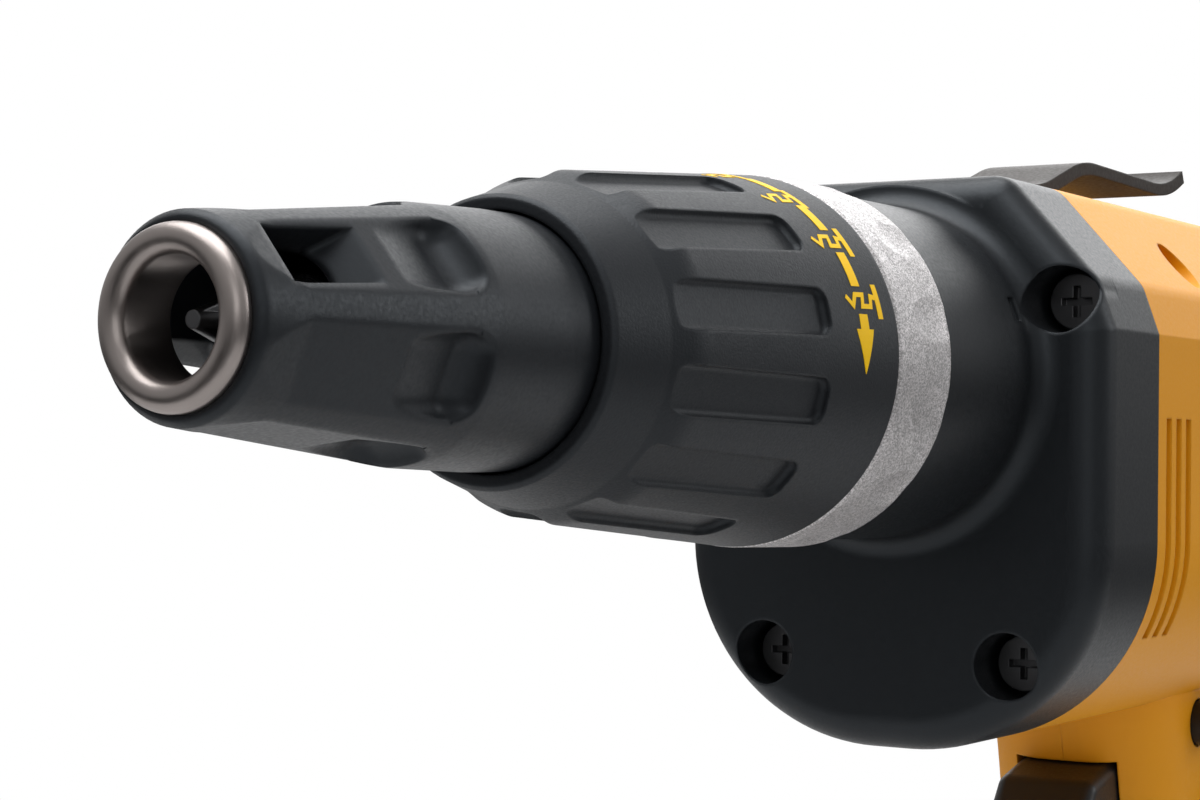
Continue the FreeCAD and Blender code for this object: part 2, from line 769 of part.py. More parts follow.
# Barrel cross-section shared by the gear case and the housing, drawn a given distance inside the skin.
def barrel_outline(inset):
    half = f"(barrel_radius - {inset})"
    low = f"(barrel_radius - chamfer_low_inset - {inset})"
    high = f"(barrel_radius - chamfer_high_inset - {inset} / 2)"
    top = f"barrel_top - {inset}"
    bottom = f"{inset} - barrel_depth"
    round_off = f"(barrel_corner_round - {inset})"
    corner_y = "(barrel_radius - barrel_corner_round)"
    corner_z = "barrel_corner_round - barrel_depth"
    points = [(f"-{half}", corner_z), (f"-{corner_y}", bottom), (corner_y, bottom), (half, corner_z),
              (half, "shoulder_z"), (low, f"chamfer_low_z - {inset} / 2"), (high, top), (f"-{high}", top),
              (f"-{low}", f"chamfer_low_z - {inset} / 2"), (f"-{half}", "shoulder_z")]
    reach = f"{round_off} * sin(45 deg)"
    return points, {0: (f"-{corner_y} - {reach}", f"{corner_z} - {reach}", "Radius", round_off),
                    2: (f"{corner_y} + {reach}", f"{corner_z} - {reach}", "Radius", round_off)}


# Gear case: a round neck turns into the body through a hollow fillet, with four deep screw wells in front.
case_outline, case_arc = barrel_outline("0")
case_body = prism("case_body", "YZ_Plane", case_outline, "body_front", "seam_x", case_arc)
rounded(case_body, "body_side_round",
        lambda edge: along(edge, 0) and edge.BoundBox.ZMin > value("shoulder_z") + NEAR)
rounded(case_body, "body_front_round", lambda edge: level(edge, 0, value("body_front")))
case_neck = turned("case_neck", [
    ("spigot_start", "0"), ("spigot_start", "spigot_radius"),
    ("oring_x - oring_wire_radius", "spigot_radius"),
    ("oring_x - oring_wire_radius", "spigot_radius - 2 * oring_wire_radius"),
    ("oring_x + oring_wire_radius", "spigot_radius - 2 * oring_wire_radius"),
    ("oring_x + oring_wire_radius", "spigot_radius"), ("neck_start", "spigot_radius"),
    ("neck_start", "neck_radius"), ("body_front - neck_fillet", "neck_radius"),
    ("body_front", "neck_radius + neck_fillet"), ("body_front + neck_fillet", "neck_radius + neck_fillet"),
    ("body_front + neck_fillet", "0")],
    {8: ("body_front - neck_fillet * (1 - sin(45 deg))", "neck_radius + neck_fillet * (1 - sin(45 deg))",
         "Radius", "neck_fillet")})
case_solid = joined("case_solid", [case_body, case_neck])
case_room = turned("case_room", [
    ("spigot_start", "0"), ("spigot_start", "bush_radius"), ("neck_bore_start", "bush_radius"),
    ("neck_bore_start", "neck_bore_radius"), ("gear_room_start", "neck_bore_radius"),
    ("gear_room_start", "gear_room_radius"), ("seam_x", "gear_room_radius"), ("seam_x", "0")])
pinion_room = on_motor(turned("pinion_room", [
    ("pinion_room_start", "0"), ("pinion_room_start", "pinion_room_radius"),
    ("plate_start - plate_fit", "pinion_room_radius"), ("plate_start - plate_fit", "plate_room_radius"),
    ("seam_x", "plate_room_radius"), ("seam_x", "0")]))


def at_case_screws(label, profile):
    """One turned outline repeated at the four gear case screws."""
    one = turned(label + "_one", profile)
    copies = []
    for across, upward in (("case_screw_upper_y", "case_screw_upper_z"),
                           ("case_screw_lower_y", "-case_screw_lower_z")):
        for side in (-1, 1):
            copies.append(one.Shape.translated(FreeCAD.Vector(0, side * value(across), value(upward))))
    return fixed_shape(label, Part.makeCompound(copies))


wells = at_case_screws("screw_wells", [
    ("neck_start", "0"), ("neck_start", "counterbore_radius"), ("counterbore_end", "counterbore_radius"),
    ("counterbore_end", "case_screw_radius + fit_gap"), ("seam_x", "case_screw_radius + fit_gap"),
    ("seam_x", "0")])
notch_one = prism("notch_one", "YZ_Plane",
                  rectangle("-notch_half_width", "notch_half_width",
                            "neck_radius - notch_depth", "neck_radius + neck_fillet"),
                  "notch_start", "notch_end")
notch = round_the_axis("notch", notch_one, [value("notch_angle")])
less("gear_case", case_solid, [case_room, pinion_room, wells, notch])
screw_shanks = at_case_screws("screw_shanks", [
    ("counterbore_end - case_screw_head_length", "0"),
    ("counterbore_end - case_screw_head_length", "case_screw_head_radius"),
    ("counterbore_end", "case_screw_head_radius"), ("counterbore_end", "case_screw_radius"),
    ("case_screw_end", "case_screw_radius"), ("case_screw_end", "0")])
cross_one = prism("cross_one", "YZ_Plane",
                  [("-recess_reach", "-recess_half_width"), ("-recess_half_width", "-recess_half_width"),
                   ("-recess_half_width", "-recess_reach"), ("recess_half_width", "-recess_reach"),
                   ("recess_half_width", "-recess_half_width"), ("recess_reach", "-recess_half_width"),
                   ("recess_reach", "recess_half_width"), ("recess_half_width", "recess_half_width"),
                   ("recess_half_width", "recess_reach"), ("-recess_half_width", "recess_reach"),
                   ("-recess_half_width", "recess_half_width"), ("-recess_reach", "recess_half_width")],
                  "counterbore_end - case_screw_head_length - recess_depth",
                  "counterbore_end - case_screw_head_length + recess_depth")
cross_marks = [cross_one.Shape.translated(FreeCAD.Vector(0, side * value(across), value(upward)))
               for across, upward in (("case_screw_upper_y", "case_screw_upper_z"),
                                      ("case_screw_lower_y", "-case_screw_lower_z")) for side in (-1, 1)]
less("gear_case_screws", screw_shanks, [fixed_shape("cross_recesses", Part.makeCompound(cross_marks))])
oring = doc.addObject("Part::Torus", "nose_o_ring")
oring.Label = "nose_o_ring"
bind(oring, "Radius1", "spigot_radius - oring_wire_radius")
bind(oring, "Radius2", "oring_wire_radius")
oring.Placement = FreeCAD.Placement(FreeCAD.Vector(0, 0, 0), FreeCAD.Rotation(FreeCAD.Vector(0, 1, 0), 90))
bind(oring, "Placement.Base.x", "oring_x")

# Front bush and seal in the spigot.
turned("front_bush", rectangle("bush_start", "bush_end", "spindle_radius + running_fit", "bush_radius"))
turned("spindle_seal", rectangle("spigot_start", "bush_start",
                                 "spindle_radius + seal_bore_gap", "bush_radius"))

# Spindle with its clutch flange, the bit holder in its socket and the bit.
tail_start = "gear_front_hub_start - press_travel - fit_gap"
spindle_blank = turned("spindle_blank", [
    ("spindle_start", "0"), ("spindle_start", "spindle_radius"), ("flange_start", "spindle_radius"),
    ("flange_start", "flange_radius"), ("flange_end", "flange_radius"), ("flange_end", "spindle_radius"),
    (tail_start, "spindle_radius"), (tail_start, "tail_radius"), ("tail_end", "tail_radius"),
    ("tail_end", "0")])
dog_ring = turned("dog_ring", rectangle("flange_end", "flange_end + dog_height",
                                        "dog_inner_radius", "flange_radius"))
dog_bar = prism("dog_bar", "YZ_Plane",
                rectangle("-dog_half_width", "dog_half_width", "0", "2 * flange_radius"),
                "flange_end", "flange_end + dog_height")
dog_bars = round_the_axis("dog_bars", dog_bar, turns("dog_count"))
spindle_dogs = shared("spindle_dogs", dog_ring, dog_bars)
spindle_socket = prism("spindle_socket", "YZ_Plane", hexagon("shank_flats + shank_play"),
                       "spindle_start", "spindle_socket_end")
less("spindle", joined("spindle_solid", [spindle_blank, spindle_dogs]), [spindle_socket])
holder_barrel = turned("holder_barrel", [
    ("holder_start", "0"), ("holder_start", "holder_radius - holder_bevel"),
    ("holder_start + holder_bevel", "holder_radius"), ("bit_ring_x", "holder_radius"),
    ("bit_ring_x", "holder_radius - bit_ring_depth"),
    ("bit_ring_x + bit_ring_width", "holder_radius - bit_ring_depth"),
    ("bit_ring_x + bit_ring_width", "holder_radius"), ("holder_end", "holder_radius"), ("holder_end", "0")])
holder_shank = prism("holder_shank", "YZ_Plane", hexagon("shank_flats"),
                     "holder_end - holder_bevel", "holder_shank_end")
bit_socket = prism("bit_socket", "YZ_Plane", hexagon("shank_flats + shank_play"),
                   "holder_start", "bit_socket_end")
magnet_room = rod("magnet_room", "YZ_Plane", "0", "0", "magnet_radius",
                  "bit_socket_end - shank_play", "magnet_end")
less("bit_holder", joined("holder_solid", [holder_barrel, holder_shank]), [bit_socket, magnet_room])
rod("bit_magnet", "YZ_Plane", "0", "0", "magnet_radius", "bit_socket_end", "magnet_end")
ring_full = turned("ring_full", rectangle("bit_ring_x", "bit_ring_x + bit_ring_width",
                                          "holder_radius - bit_ring_depth", "holder_radius"))
ring_opening = prism("ring_opening", "YZ_Plane",
                     rectangle("-bit_ring_gap / 2", "bit_ring_gap / 2", "0", "2 * holder_radius"),
                     "bit_ring_x - bit_ring_width", "bit_ring_x + 2 * bit_ring_width")
less("bit_retaining_ring", ring_full, [ring_opening])
bit_blank = turned("bit_blank", [
    ("bit_tip_x", "0"), ("bit_tip_x", "bit_tip_radius"), ("bit_cone_end", "bit_neck_radius"),
    ("bit_hex_start", "bit_neck_radius"), ("bit_hex_start", "0")])
bit_hex = prism("bit_hex", "YZ_Plane", hexagon("shank_flats"), "bit_hex_start", "bit_end")
groove_one = prism("groove_one", "YZ_Plane",
                   rectangle("bit_groove_offset", "bit_groove_size", "bit_groove_offset", "bit_groove_size"),
                   "bit_tip_x", "bit_cone_end")
grooves = round_the_axis("grooves", groove_one, [0, 90, 180, 270])
less("bit", joined("bit_solid", [bit_blank, bit_hex]), [grooves])
coil("clutch_spring", "flange_end + spring_end_gap", "gear_front_hub_start - spring_end_gap",
     "clutch_coil_radius", "clutch_wire_radius", "clutch_turns")


# Gear pair: straight-flanked teeth on the drive gear and the motor pinion.
def toothed(label, blank, teeth, pitch_radius, start, end, first_step):
    tooth = prism(label + "_tooth", "YZ_Plane",
                  [("-tooth_root_half", f"{pitch_radius} - root_clearance_share * gear_module - tooth_sink"),
                   ("tooth_root_half", f"{pitch_radius} - root_clearance_share * gear_module - tooth_sink"),
                   ("tooth_tip_half", f"{pitch_radius} + gear_module"),
                   ("-tooth_tip_half", f"{pitch_radius} + gear_module")], start, end)
    angles = [(step + first_step) * 360 / value(teeth) for step in range(int(value(teeth)))]
    return joined(label, [blank, round_the_axis(label + "_teeth", tooth, angles)])


gear_root = "gear_teeth * gear_module / 2 - root_clearance_share * gear_module"
gear_blank = turned("gear_blank", [
    ("gear_front_hub_start", "tail_radius + running_fit"), ("gear_front_hub_start", "gear_front_hub_radius"),
    ("gear_start", "gear_front_hub_radius"), ("gear_start", gear_root), ("gear_end", gear_root),
    ("gear_end", "gear_rear_hub_radius"), ("gear_rear_hub_end", "gear_rear_hub_radius"),
    ("gear_rear_hub_end", "tail_radius + running_fit")])
gear_toothed = toothed("gear_toothed", gear_blank, "gear_teeth", "gear_teeth * gear_module / 2",
                       "gear_start", "gear_end", 0)
gear_dog_ring = turned("gear_dog_ring", rectangle("gear_dog_tip", "gear_start + dog_height",
                                                  "dog_inner_radius", "flange_radius"))
gear_dog_bar = prism("gear_dog_bar", "YZ_Plane",
                     rectangle("-dog_half_width", "dog_half_width", "0", "2 * flange_radius"),
                     "gear_dog_tip", "gear_start + dog_height")
gear_dog_bars = round_the_axis("gear_dog_bars", gear_dog_bar, turns("dog_count", "180 / dog_count"))
joined("drive_gear", [gear_toothed, shared("gear_dogs", gear_dog_ring, gear_dog_bars)])
turned("thrust_washer", rectangle("plate_start - thrust_thickness", "plate_start",
                                  "tail_radius + fit_gap", "thrust_radius"))
pinion_root = "pinion_teeth * gear_module / 2 - root_clearance_share * gear_module"
pinion_blank = turned("pinion_blank", rectangle("pinion_start", "pinion_end",
                                                "shaft_nose_radius", pinion_root))
pinion_toothed = toothed("pinion_toothed", pinion_blank, "pinion_teeth", "pinion_teeth * gear_module / 2",
                         "pinion_start", "gear_end", 1 / 2)
pinion_nose = rod("pinion_nose", "YZ_Plane", "0", "0", "shaft_nose_radius", "pinion_start", "pinion_end")
on_motor(less("pinion", pinion_toothed, [pinion_nose]))

# Gear plate: carries the spindle tail and the front motor bearing.
plate_upper = rod("plate_upper", "YZ_Plane", "0", "0", "gear_room_radius - plate_fit",
                  "plate_start", "plate_end")
plate_lower = rod("plate_lower", "YZ_Plane", "0", "-motor_drop", "plate_room_radius - plate_fit",
                  "plate_start", "plate_end")
tail_room = rod("tail_room", "YZ_Plane", "0", "0", "tail_radius + running_fit", "plate_start", "plate_end")
bearing_room = rod("bearing_room", "YZ_Plane", "0", "-motor_drop", "bearing_radius",
                   "plate_start", "plate_end")
less("gear_plate", joined("plate_solid", [plate_upper, plate_lower]), [tail_room, bearing_room])


def bearing(label, start, end, inner, outer):
    """A ball bearing outline with the shield recess between its rings on both faces."""
    low = f"{inner} + ({outer} - {inner}) * bearing_ring_share"
    high = f"{outer} - ({outer} - {inner}) * bearing_ring_share"
    near = f"{start} + bearing_groove_depth"
    far = f"{end} - bearing_groove_depth"
    return on_motor(turned(label, [
        (start, inner), (start, low), (near, low), (near, high), (start, high), (start, outer),
        (end, outer), (end, high), (far, high), (far, low), (end, low), (end, inner)]))


bearing("front_bearing", "plate_start", "plate_end", "(shaft_radius + running_fit)", "bearing_radius")
bearing("rear_bearing", "rear_bearing_start", "rear_bearing_end", "(shaft_rear_radius + running_fit)",
        "rear_bearing_radius")

# Armature on the motor axis.
on_motor(turned("armature_shaft", [
    ("shaft_start", "0"), ("shaft_start", "shaft_nose_radius"), ("pinion_end", "shaft_nose_radius"),
    ("pinion_end", "shaft_radius"), ("shaft_rear_step", "shaft_radius"),
    ("shaft_rear_step", "shaft_rear_radius"),
    ("shaft_end", "shaft_rear_radius"), ("shaft_end", "0")]))
core_blank = turned("core_blank", rectangle("core_start", "core_end", "shaft_radius", "core_radius"))
core_slot = prism("core_slot", "YZ_Plane", rectangle("-core_slot_half", "core_slot_half", "core_slot_floor",
                                                     "core_radius + air_gap"), "core_start", "core_end")
core_slots = round_the_axis("core_slots", core_slot, turns("core_slot_count"))
on_motor(less("armature_core", core_blank, [core_slots]))
turn_front = turned("turn_front", [
    ("winding_front", "winding_inner_radius"), ("winding_front", "winding_radius - winding_bevel"),
    ("winding_front + winding_bevel", "winding_radius"), ("core_start", "winding_radius"),
    ("core_start", "winding_inner_radius")])
turn_rear = turned("turn_rear", [
    ("core_end", "winding_inner_radius"), ("core_end", "winding_radius"),
    ("winding_rear - winding_bevel", "winding_radius"), ("winding_rear", "winding_radius - winding_bevel"),
    ("winding_rear", "winding_inner_radius")])
on_motor(fixed_shape("armature_windings", Part.makeCompound([turn_front.Shape, turn_rear.Shape])))
commutator_blank = turned("commutator_blank", rectangle("commutator_start", "commutator_end", "shaft_radius",
                                                        "commutator_radius"))
commutator_slot = prism("commutator_slot", "YZ_Plane",
                        rectangle("-commutator_slot_half", "commutator_slot_half",
                                  "commutator_radius - commutator_slot_depth", "commutator_radius + air_gap"),
                        "commutator_start", "commutator_end")
commutator_slots = round_the_axis("commutator_slots", commutator_slot, turns("core_slot_count"))
on_motor(less("commutator", commutator_blank, [commutator_slots]))
fan_disc = turned("fan_disc", [
    ("fan_start", "shaft_radius"), ("fan_start", "fan_radius"), ("fan_plate_end", "fan_radius"),
    ("fan_plate_end", "fan_hub_radius"), ("fan_end", "fan_hub_radius"), ("fan_end", "shaft_radius")])
fan_blade = prism("fan_blade", "YZ_Plane",
                  rectangle("-fan_blade_half", "fan_blade_half",
                            "(shaft_radius + fan_hub_radius) / 2", "fan_radius - fan_blade_half"),
                  "fan_start", "fan_end")
fan_blades = round_the_axis("fan_blades", fan_blade, turns("fan_blade_count"))
on_motor(joined("fan", [fan_disc, fan_blades]))

# Field and brush gear, fixed in the housing.
on_motor(turned("field_core", rectangle("core_start", "core_end", "core_radius + air_gap",
                                        "barrel_radius - wall - fit_gap")))
field_outer = "barrel_radius - wall - fit_gap - field_winding_step"
field_front = turned("field_front", rectangle("field_winding_front", "core_start", "field_winding_inner",
                                              field_outer))
field_rear = turned("field_rear", rectangle("core_end", "field_winding_rear", "field_winding_inner",
                                            field_outer))
on_motor(fixed_shape("field_windings", Part.makeCompound([field_front.Shape, field_rear.Shape])))
brush_one = prism("brush_one", "XZ_Plane",
                  rectangle("brush_x - brush_half_length", "brush_x + brush_half_length",
                            "-brush_half_height", "brush_half_height"),
                  "commutator_radius + fit_gap", "brush_outer_y")
on_motor(both_sides("carbon_brushes", brush_one))
holder_block = prism("holder_block", "XZ_Plane",
                     rectangle("brush_x - brush_half_length - brush_wall",
                               "brush_x + brush_half_length + brush_wall",
                               "-brush_half_height - brush_wall", "brush_half_height + brush_wall"),
                     "brush_holder_inner_y", "barrel_radius - wall - fit_gap")
holder_channel = prism("holder_channel", "XZ_Plane",
                       rectangle("brush_x - brush_half_length", "brush_x + brush_half_length",
                                 "-brush_half_height", "brush_half_height"),
                       "brush_holder_inner_y", "barrel_radius - wall - fit_gap - brush_wall")
on_motor(both_sides("brush_holders", less("holder_one", holder_block, [holder_channel])))
brush_coil = coil("brush_coil", "brush_outer_y", "barrel_radius - wall - fit_gap - brush_wall",
                  "brush_coil_radius", "brush_wire_radius", "brush_turns")
quarter_turn = FreeCAD.Rotation(FreeCAD.Vector(0, 0, 1), 90)
brush_coil.Placement = FreeCAD.Placement(FreeCAD.Vector(value("brush_x"), 0, 0), quarter_turn)
on_motor(both_sides("brush_springs", brush_coil))

# Housing: the barrel and the leaning handle are one hollow shell split down the middle.
barrel_skin = prism("barrel_skin", "YZ_Plane", case_outline, "seam_x", "barrel_end", case_arc)
rounded(barrel_skin, "body_side_round",
        lambda edge: along(edge, 0) and edge.BoundBox.ZMin > value("shoulder_z") + NEAR)
rounded(barrel_skin, "barrel_end_round", lambda edge: level(edge, 0, value("barrel_end")))
room_outline, room_arc = barrel_outline("wall")
barrel_room = prism("barrel_room", "YZ_Plane", room_outline, "seam_x", "barrel_room_end", room_arc)
rear_room = on_motor(turned("rear_room", [
    ("barrel_room_end", "0"), ("barrel_room_end", "rear_bearing_radius"),
    ("bearing_room_end", "rear_bearing_radius"),
    ("bearing_room_end", "shaft_room_radius"), ("shaft_room_end", "shaft_room_radius"),
    ("shaft_room_end", "0")]))


def handle_form(label, inset, foot):
    """The handle's lofted form, drawn a given distance inside its skin and down to a given foot level."""
    body = new_body(label)
    sketches = []
    for lift, depth, width, shift in (("handle_above", "handle_half_depth", "handle_half_width", "0"),
                                      ("-neck_level", "neck_half_depth", "neck_half_width", "neck_shift"),
                                      ("-palm_level", "palm_half_depth", "palm_half_width", "palm_shift"),
                                      (foot, "foot_half_depth", "foot_half_width", "foot_shift")):
        sketch = new_sketch(body, "XY_Plane", lift)
        round_off = f"handle_round - ({inset})"
        front = f"{shift} - {depth} + ({inset})"
        rear = f"{shift} + {depth} - ({inset})"
        side = f"{width} - ({inset})"
        points = [(f"{front} + {round_off}", f"-({side})"), (f"{rear} - ({round_off})", f"-({side})"),
                  (rear, f"-({side}) + {round_off}"), (rear, f"{side} - ({round_off})"),
                  (f"{rear} - ({round_off})", side), (f"{front} + {round_off}", side),
                  (front, f"{side} - ({round_off})"), (front, f"-({side}) + {round_off}")]
        bulge = f"({round_off}) * (1 - sin(45 deg))"
        arcs = {1: (f"{rear} - {bulge}", f"-({side}) + {bulge}", "Radius", round_off),
                3: (f"{rear} - {bulge}", f"{side} - {bulge}", "Radius", round_off),
                5: (f"{front} + {bulge}", f"{side} - {bulge}", "Radius", round_off),
                7: (f"{front} + {bulge}", f"-({side}) + {bulge}", "Radius", round_off)}
        draw_outline(sketch, points, arcs)
        sketches.append(sketch)
    loft = body.newObject("PartDesign::AdditiveLoft", label + "_loft")
    loft.Profile = sketches[0]
    loft.Sections = sketches[1:]
    doc.recompute()
    return on_handle(body)


handle_skin = handle_form("handle_skin", "0", "-handle_below")
handle_inside = handle_form("handle_inside", "wall", "-handle_below")
room_limits = on_handle(prism("room_limits", "XY_Plane",
                              rectangle("-2 * foot_half_depth", "2 * foot_half_depth", "-2 * foot_half_width",
                                        "2 * foot_half_width"), "-handle_below + foot_floor", "0"))
handle_room = shared("handle_room", handle_inside, room_limits)
inlet_hole = on_handle(rod("inlet_hole", "XY_Plane", "0", "0", "inlet_neck_radius",
                           "-handle_below - wall", "-handle_below + 3 * wall"))
trigger_hole = on_handle(prism("trigger_hole", "YZ_Plane",
                               rectangle("-trigger_half_width - fit_gap", "trigger_half_width + fit_gap",
                                         "-trigger_bottom - fit_gap", "-trigger_top + fit_gap"),
                               "-handle_half_depth - wall", "-handle_half_depth + 2 * wall"))
lock_hole = on_handle(rod("lock_hole", "XZ_Plane", "lock_x", "-lock_z", "lock_radius + fit_gap",
                          "-handle_half_width - wall", "-handle_half_width + 2 * wall"))
reverse_hole = on_handle(rod("reverse_hole", "XZ_Plane", "-reverse_x", "-reverse_z",
                             "reverse_radius + fit_gap", "-barrel_radius", "barrel_radius"))
vent_one = prism("vent_one", "XZ_Plane",
                 rectangle("-vent_half_width", "vent_half_width", "vent_low_z", "vent_high_z"),
                 "-2 * barrel_radius", "2 * barrel_radius")
vent_shapes = []
for first, count in (("vent_first_x", "vent_count"), ("outlet_first_x", "outlet_count")):
    for step in range(int(value(count))):
        place = FreeCAD.Vector(value(first) + step * value("vent_pitch"), 0, 0)
        vent_shapes.append(vent_one.Shape.translated(place))
vents = fixed_shape("vents", Part.makeCompound(vent_shapes))
vent_shell = less("vent_shell", barrel_skin, [vents, barrel_room, rear_room])
shell_solid = joined("shell_solid", [vent_shell, less("handle_shell", handle_skin, [barrel_room, rear_room])])
case_bosses = shared("case_bosses", at_case_screws("boss_rods", [
    ("seam_x", "0"), ("seam_x", "boss_radius"), ("boss_end", "boss_radius"), ("boss_end", "0")]), barrel_skin)
case_screw_holes = at_case_screws("case_screw_holes", [
    ("seam_x", "0"), ("seam_x", "case_screw_radius"), ("case_screw_end", "case_screw_radius"),
    ("case_screw_end", "0")])

JOINT_SCREWS = [("joint_front_x", "joint_barrel_z", False), ("joint_rear_x", "joint_barrel_z", False),
                ("joint_handle_x", "-joint_upper_z", True), ("-joint_handle_x", "-joint_upper_z", True),
                ("joint_handle_x", "-joint_lower_z", True)]


def at_joint_screws(label, radius, start, end, handle_only=False):
    """One rod across the tool at every housing screw."""
    copies = []
    for number, (across, upward, leaning) in enumerate(JOINT_SCREWS):
        if handle_only and not leaning:
            continue
        one = rod(f"{label}_{number}", "XZ_Plane", across, upward, radius, start, end)
        if leaning:
            on_handle(one)
        doc.recompute()
        copies.append(one.Shape)
    return fixed_shape(label, Part.makeCompound(copies))


joint_boss_rods = at_joint_screws("joint_boss_rods", "joint_boss_radius", "-barrel_radius", "barrel_radius")
joint_bosses = shared("joint_bosses", joint_boss_rods, joined("whole_skin", [barrel_skin, handle_skin]))
joint_wells = at_joint_screws("joint_wells", "joint_head_radius + fit_gap", "-barrel_radius", "-joint_seat_y")
joint_holes = at_joint_screws("joint_holes", "joint_screw_radius", "-joint_seat_y", "joint_screw_tip_y")
joint_heads = at_joint_screws("joint_heads", "joint_head_radius", "-joint_seat_y - joint_head_length",
                              "-joint_seat_y")
joint_shanks = at_joint_screws("joint_shanks", "joint_screw_radius", "-joint_seat_y", "joint_screw_tip_y")
joined("housing_screws", [joint_heads, joint_shanks])

hook_boss = rod("hook_boss", "XY_Plane", "hook_screw_x", "hook_screw_y", "hook_boss_radius",
                "barrel_top - wall - hook_boss_depth", "barrel_top - wall / 2")
hook_bosses = both_sides("hook_bosses", hook_boss)
hook_hole = rod("hook_hole", "XY_Plane", "hook_screw_x", "hook_screw_y", "hook_screw_radius",
                "barrel_top - hook_boss_depth", "barrel_top + wall")
hook_holes = both_sides("hook_holes", hook_hole)
clamp_outline = rectangle("-clamp_half_length", "clamp_half_length", "-clamp_bottom", "-clamp_top")
clamp_post = on_handle(prism("clamp_post", "XZ_Plane", clamp_outline,
                             "clamp_seat_y", "handle_half_width - wall / 2"))
clamp_holes = []
for side in ("-", ""):
    clamp_holes.append(on_handle(rod("clamp_hole" + str(len(clamp_holes)), "XZ_Plane", side + "clamp_screw_x",
                                     "-(clamp_top + clamp_bottom) / 2", "clamp_screw_radius",
                                     "clamp_seat_y", "clamp_seat_y + clamp_screw_depth")))
doc.recompute()
shell_hollow = less("shell_hollow", shell_solid, [handle_room])
shell_bossed = joined("shell_bossed", [shell_hollow, case_bosses, joint_bosses, hook_bosses, clamp_post])
shell = less("shell", shell_bossed, [inlet_hole, trigger_hole, lock_hole, reverse_hole, case_screw_holes,
                                     joint_wells, joint_holes, hook_holes, *clamp_holes])
for label, start, end in (("left_housing", "-3 * barrel_radius", "0"),
                          ("right_housing", "0", "3 * barrel_radius")):
    half = prism(label + "_half", "XZ_Plane", rectangle("0", "2 * barrel_end", "-barrel_end", "barrel_end"),
                 start, end)
    shared(label, shell, half)

# Soft grip sleeve round the handle, with holes over the screw heads.
grip_form = handle_form("grip_form", "-grip_thickness", "-handle_below")
grip_limits = on_handle(prism("grip_limits", "XY_Plane",
                              rectangle("-2 * foot_half_depth", "2 * foot_half_depth", "-2 * foot_half_width",
                                        "2 * foot_half_width"), "-grip_bottom", "-grip_top"))
grip_skin = shared("grip_skin", grip_form, grip_limits)
groove_floor = handle_form("groove_floor", "-grip_groove_floor", "-handle_below")
groove_slabs = []
for step in range(int(value("grip_groove_count"))):
    level_here = f"-grip_groove_first - {step} * grip_groove_pitch"
    slab = prism(f"groove_slab{step}", "XY_Plane",
                 rectangle("grip_groove_front", "2 * foot_half_depth",
                           "-2 * foot_half_width", "2 * foot_half_width"),
                 f"{level_here} - grip_groove_half", f"{level_here} + grip_groove_half")
    groove_slabs.append(on_handle(slab))
doc.recompute()
grip_grooves = less("grip_grooves", joined("groove_block", groove_slabs), [groove_floor])
grip_wells = at_joint_screws("grip_wells", "joint_head_radius + fit_gap",
                             "-barrel_radius", "-joint_seat_y", True)
less("handle_grip", grip_skin, [handle_skin, grip_grooves, grip_wells])

# Trigger, its spring and switch, the lock button and the reversing bar.
trigger_body = prism("trigger", "XZ_Plane",
                     [("-trigger_rear", "-trigger_top"), ("-trigger_upper_front", "-trigger_top"),
                      ("-trigger_nose_front", "-trigger_top - trigger_nose_drop"),
                      ("-trigger_foot_front", "-trigger_bottom + trigger_foot_rise"),
                      ("-trigger_heel_front", "-trigger_bottom"), ("-trigger_rear", "-trigger_bottom")],
                     "-trigger_half_width", "trigger_half_width",
                     {2: ("-trigger_waist_front", "-trigger_top - trigger_waist_drop", "Radius",
                          "2 * (trigger_bottom - trigger_top)")})
rounded(trigger_body, "trigger_corner_round",
        lambda edge: along(edge, 1) and edge.BoundBox.XMax < -value("trigger_rear") - NEAR)
rounded(trigger_body, "trigger_round",
        lambda edge: (level(edge, 1, value("trigger_half_width"))
                      or level(edge, 1, -value("trigger_half_width")))
        and edge.BoundBox.XMin < -value("trigger_rear") - NEAR)
on_handle(trigger_body)
switch_body = prism("switch_body", "XZ_Plane",
                    rectangle("-switch_front", "switch_rear", "-switch_bottom", "-switch_top"),
                    "-switch_half_width", "switch_half_width")
switch_ears = prism("switch_ears", "XZ_Plane", rectangle("-switch_front", "switch_rear", "-switch_bottom",
                                                         "-switch_bottom + switch_ear"),
                    "-neck_half_width + wall + fit_gap", "neck_half_width - wall - fit_gap")
on_handle(joined("trigger_switch", [switch_body, switch_ears]))
trigger_coil = coil("trigger_coil", "-trigger_rear + spring_end_gap", "-switch_front - spring_end_gap",
                    "trigger_coil_radius", "trigger_wire_radius", "trigger_turns")
trigger_coil.Placement = FreeCAD.Placement(FreeCAD.Vector(0, 0, -value("trigger_top + trigger_bottom") / 2),
                                           FreeCAD.Rotation()).multiply(trigger_coil.Placement)
on_handle(fixed_shape("trigger_spring", Part.makeCompound([trigger_coil.Shape])))
lock_rod = rod("lock_button", "XZ_Plane", "lock_x", "-lock_z", "lock_radius",
               "-lock_outer_y", "-lock_inner_y")
rounded(lock_rod, "button_round", lambda edge: level(edge, 1, -value("lock_outer_y")))
on_handle(lock_rod)
reverse_rod = rod("reverse_bar", "XZ_Plane", "-reverse_x", "-reverse_z", "reverse_radius",
                  "-reverse_half_length", "reverse_half_length")
rounded(reverse_rod, "button_round", lambda edge: level(edge, 1, value("reverse_half_length"))
        or level(edge, 1, -value("reverse_half_length")))
on_handle(reverse_rod)

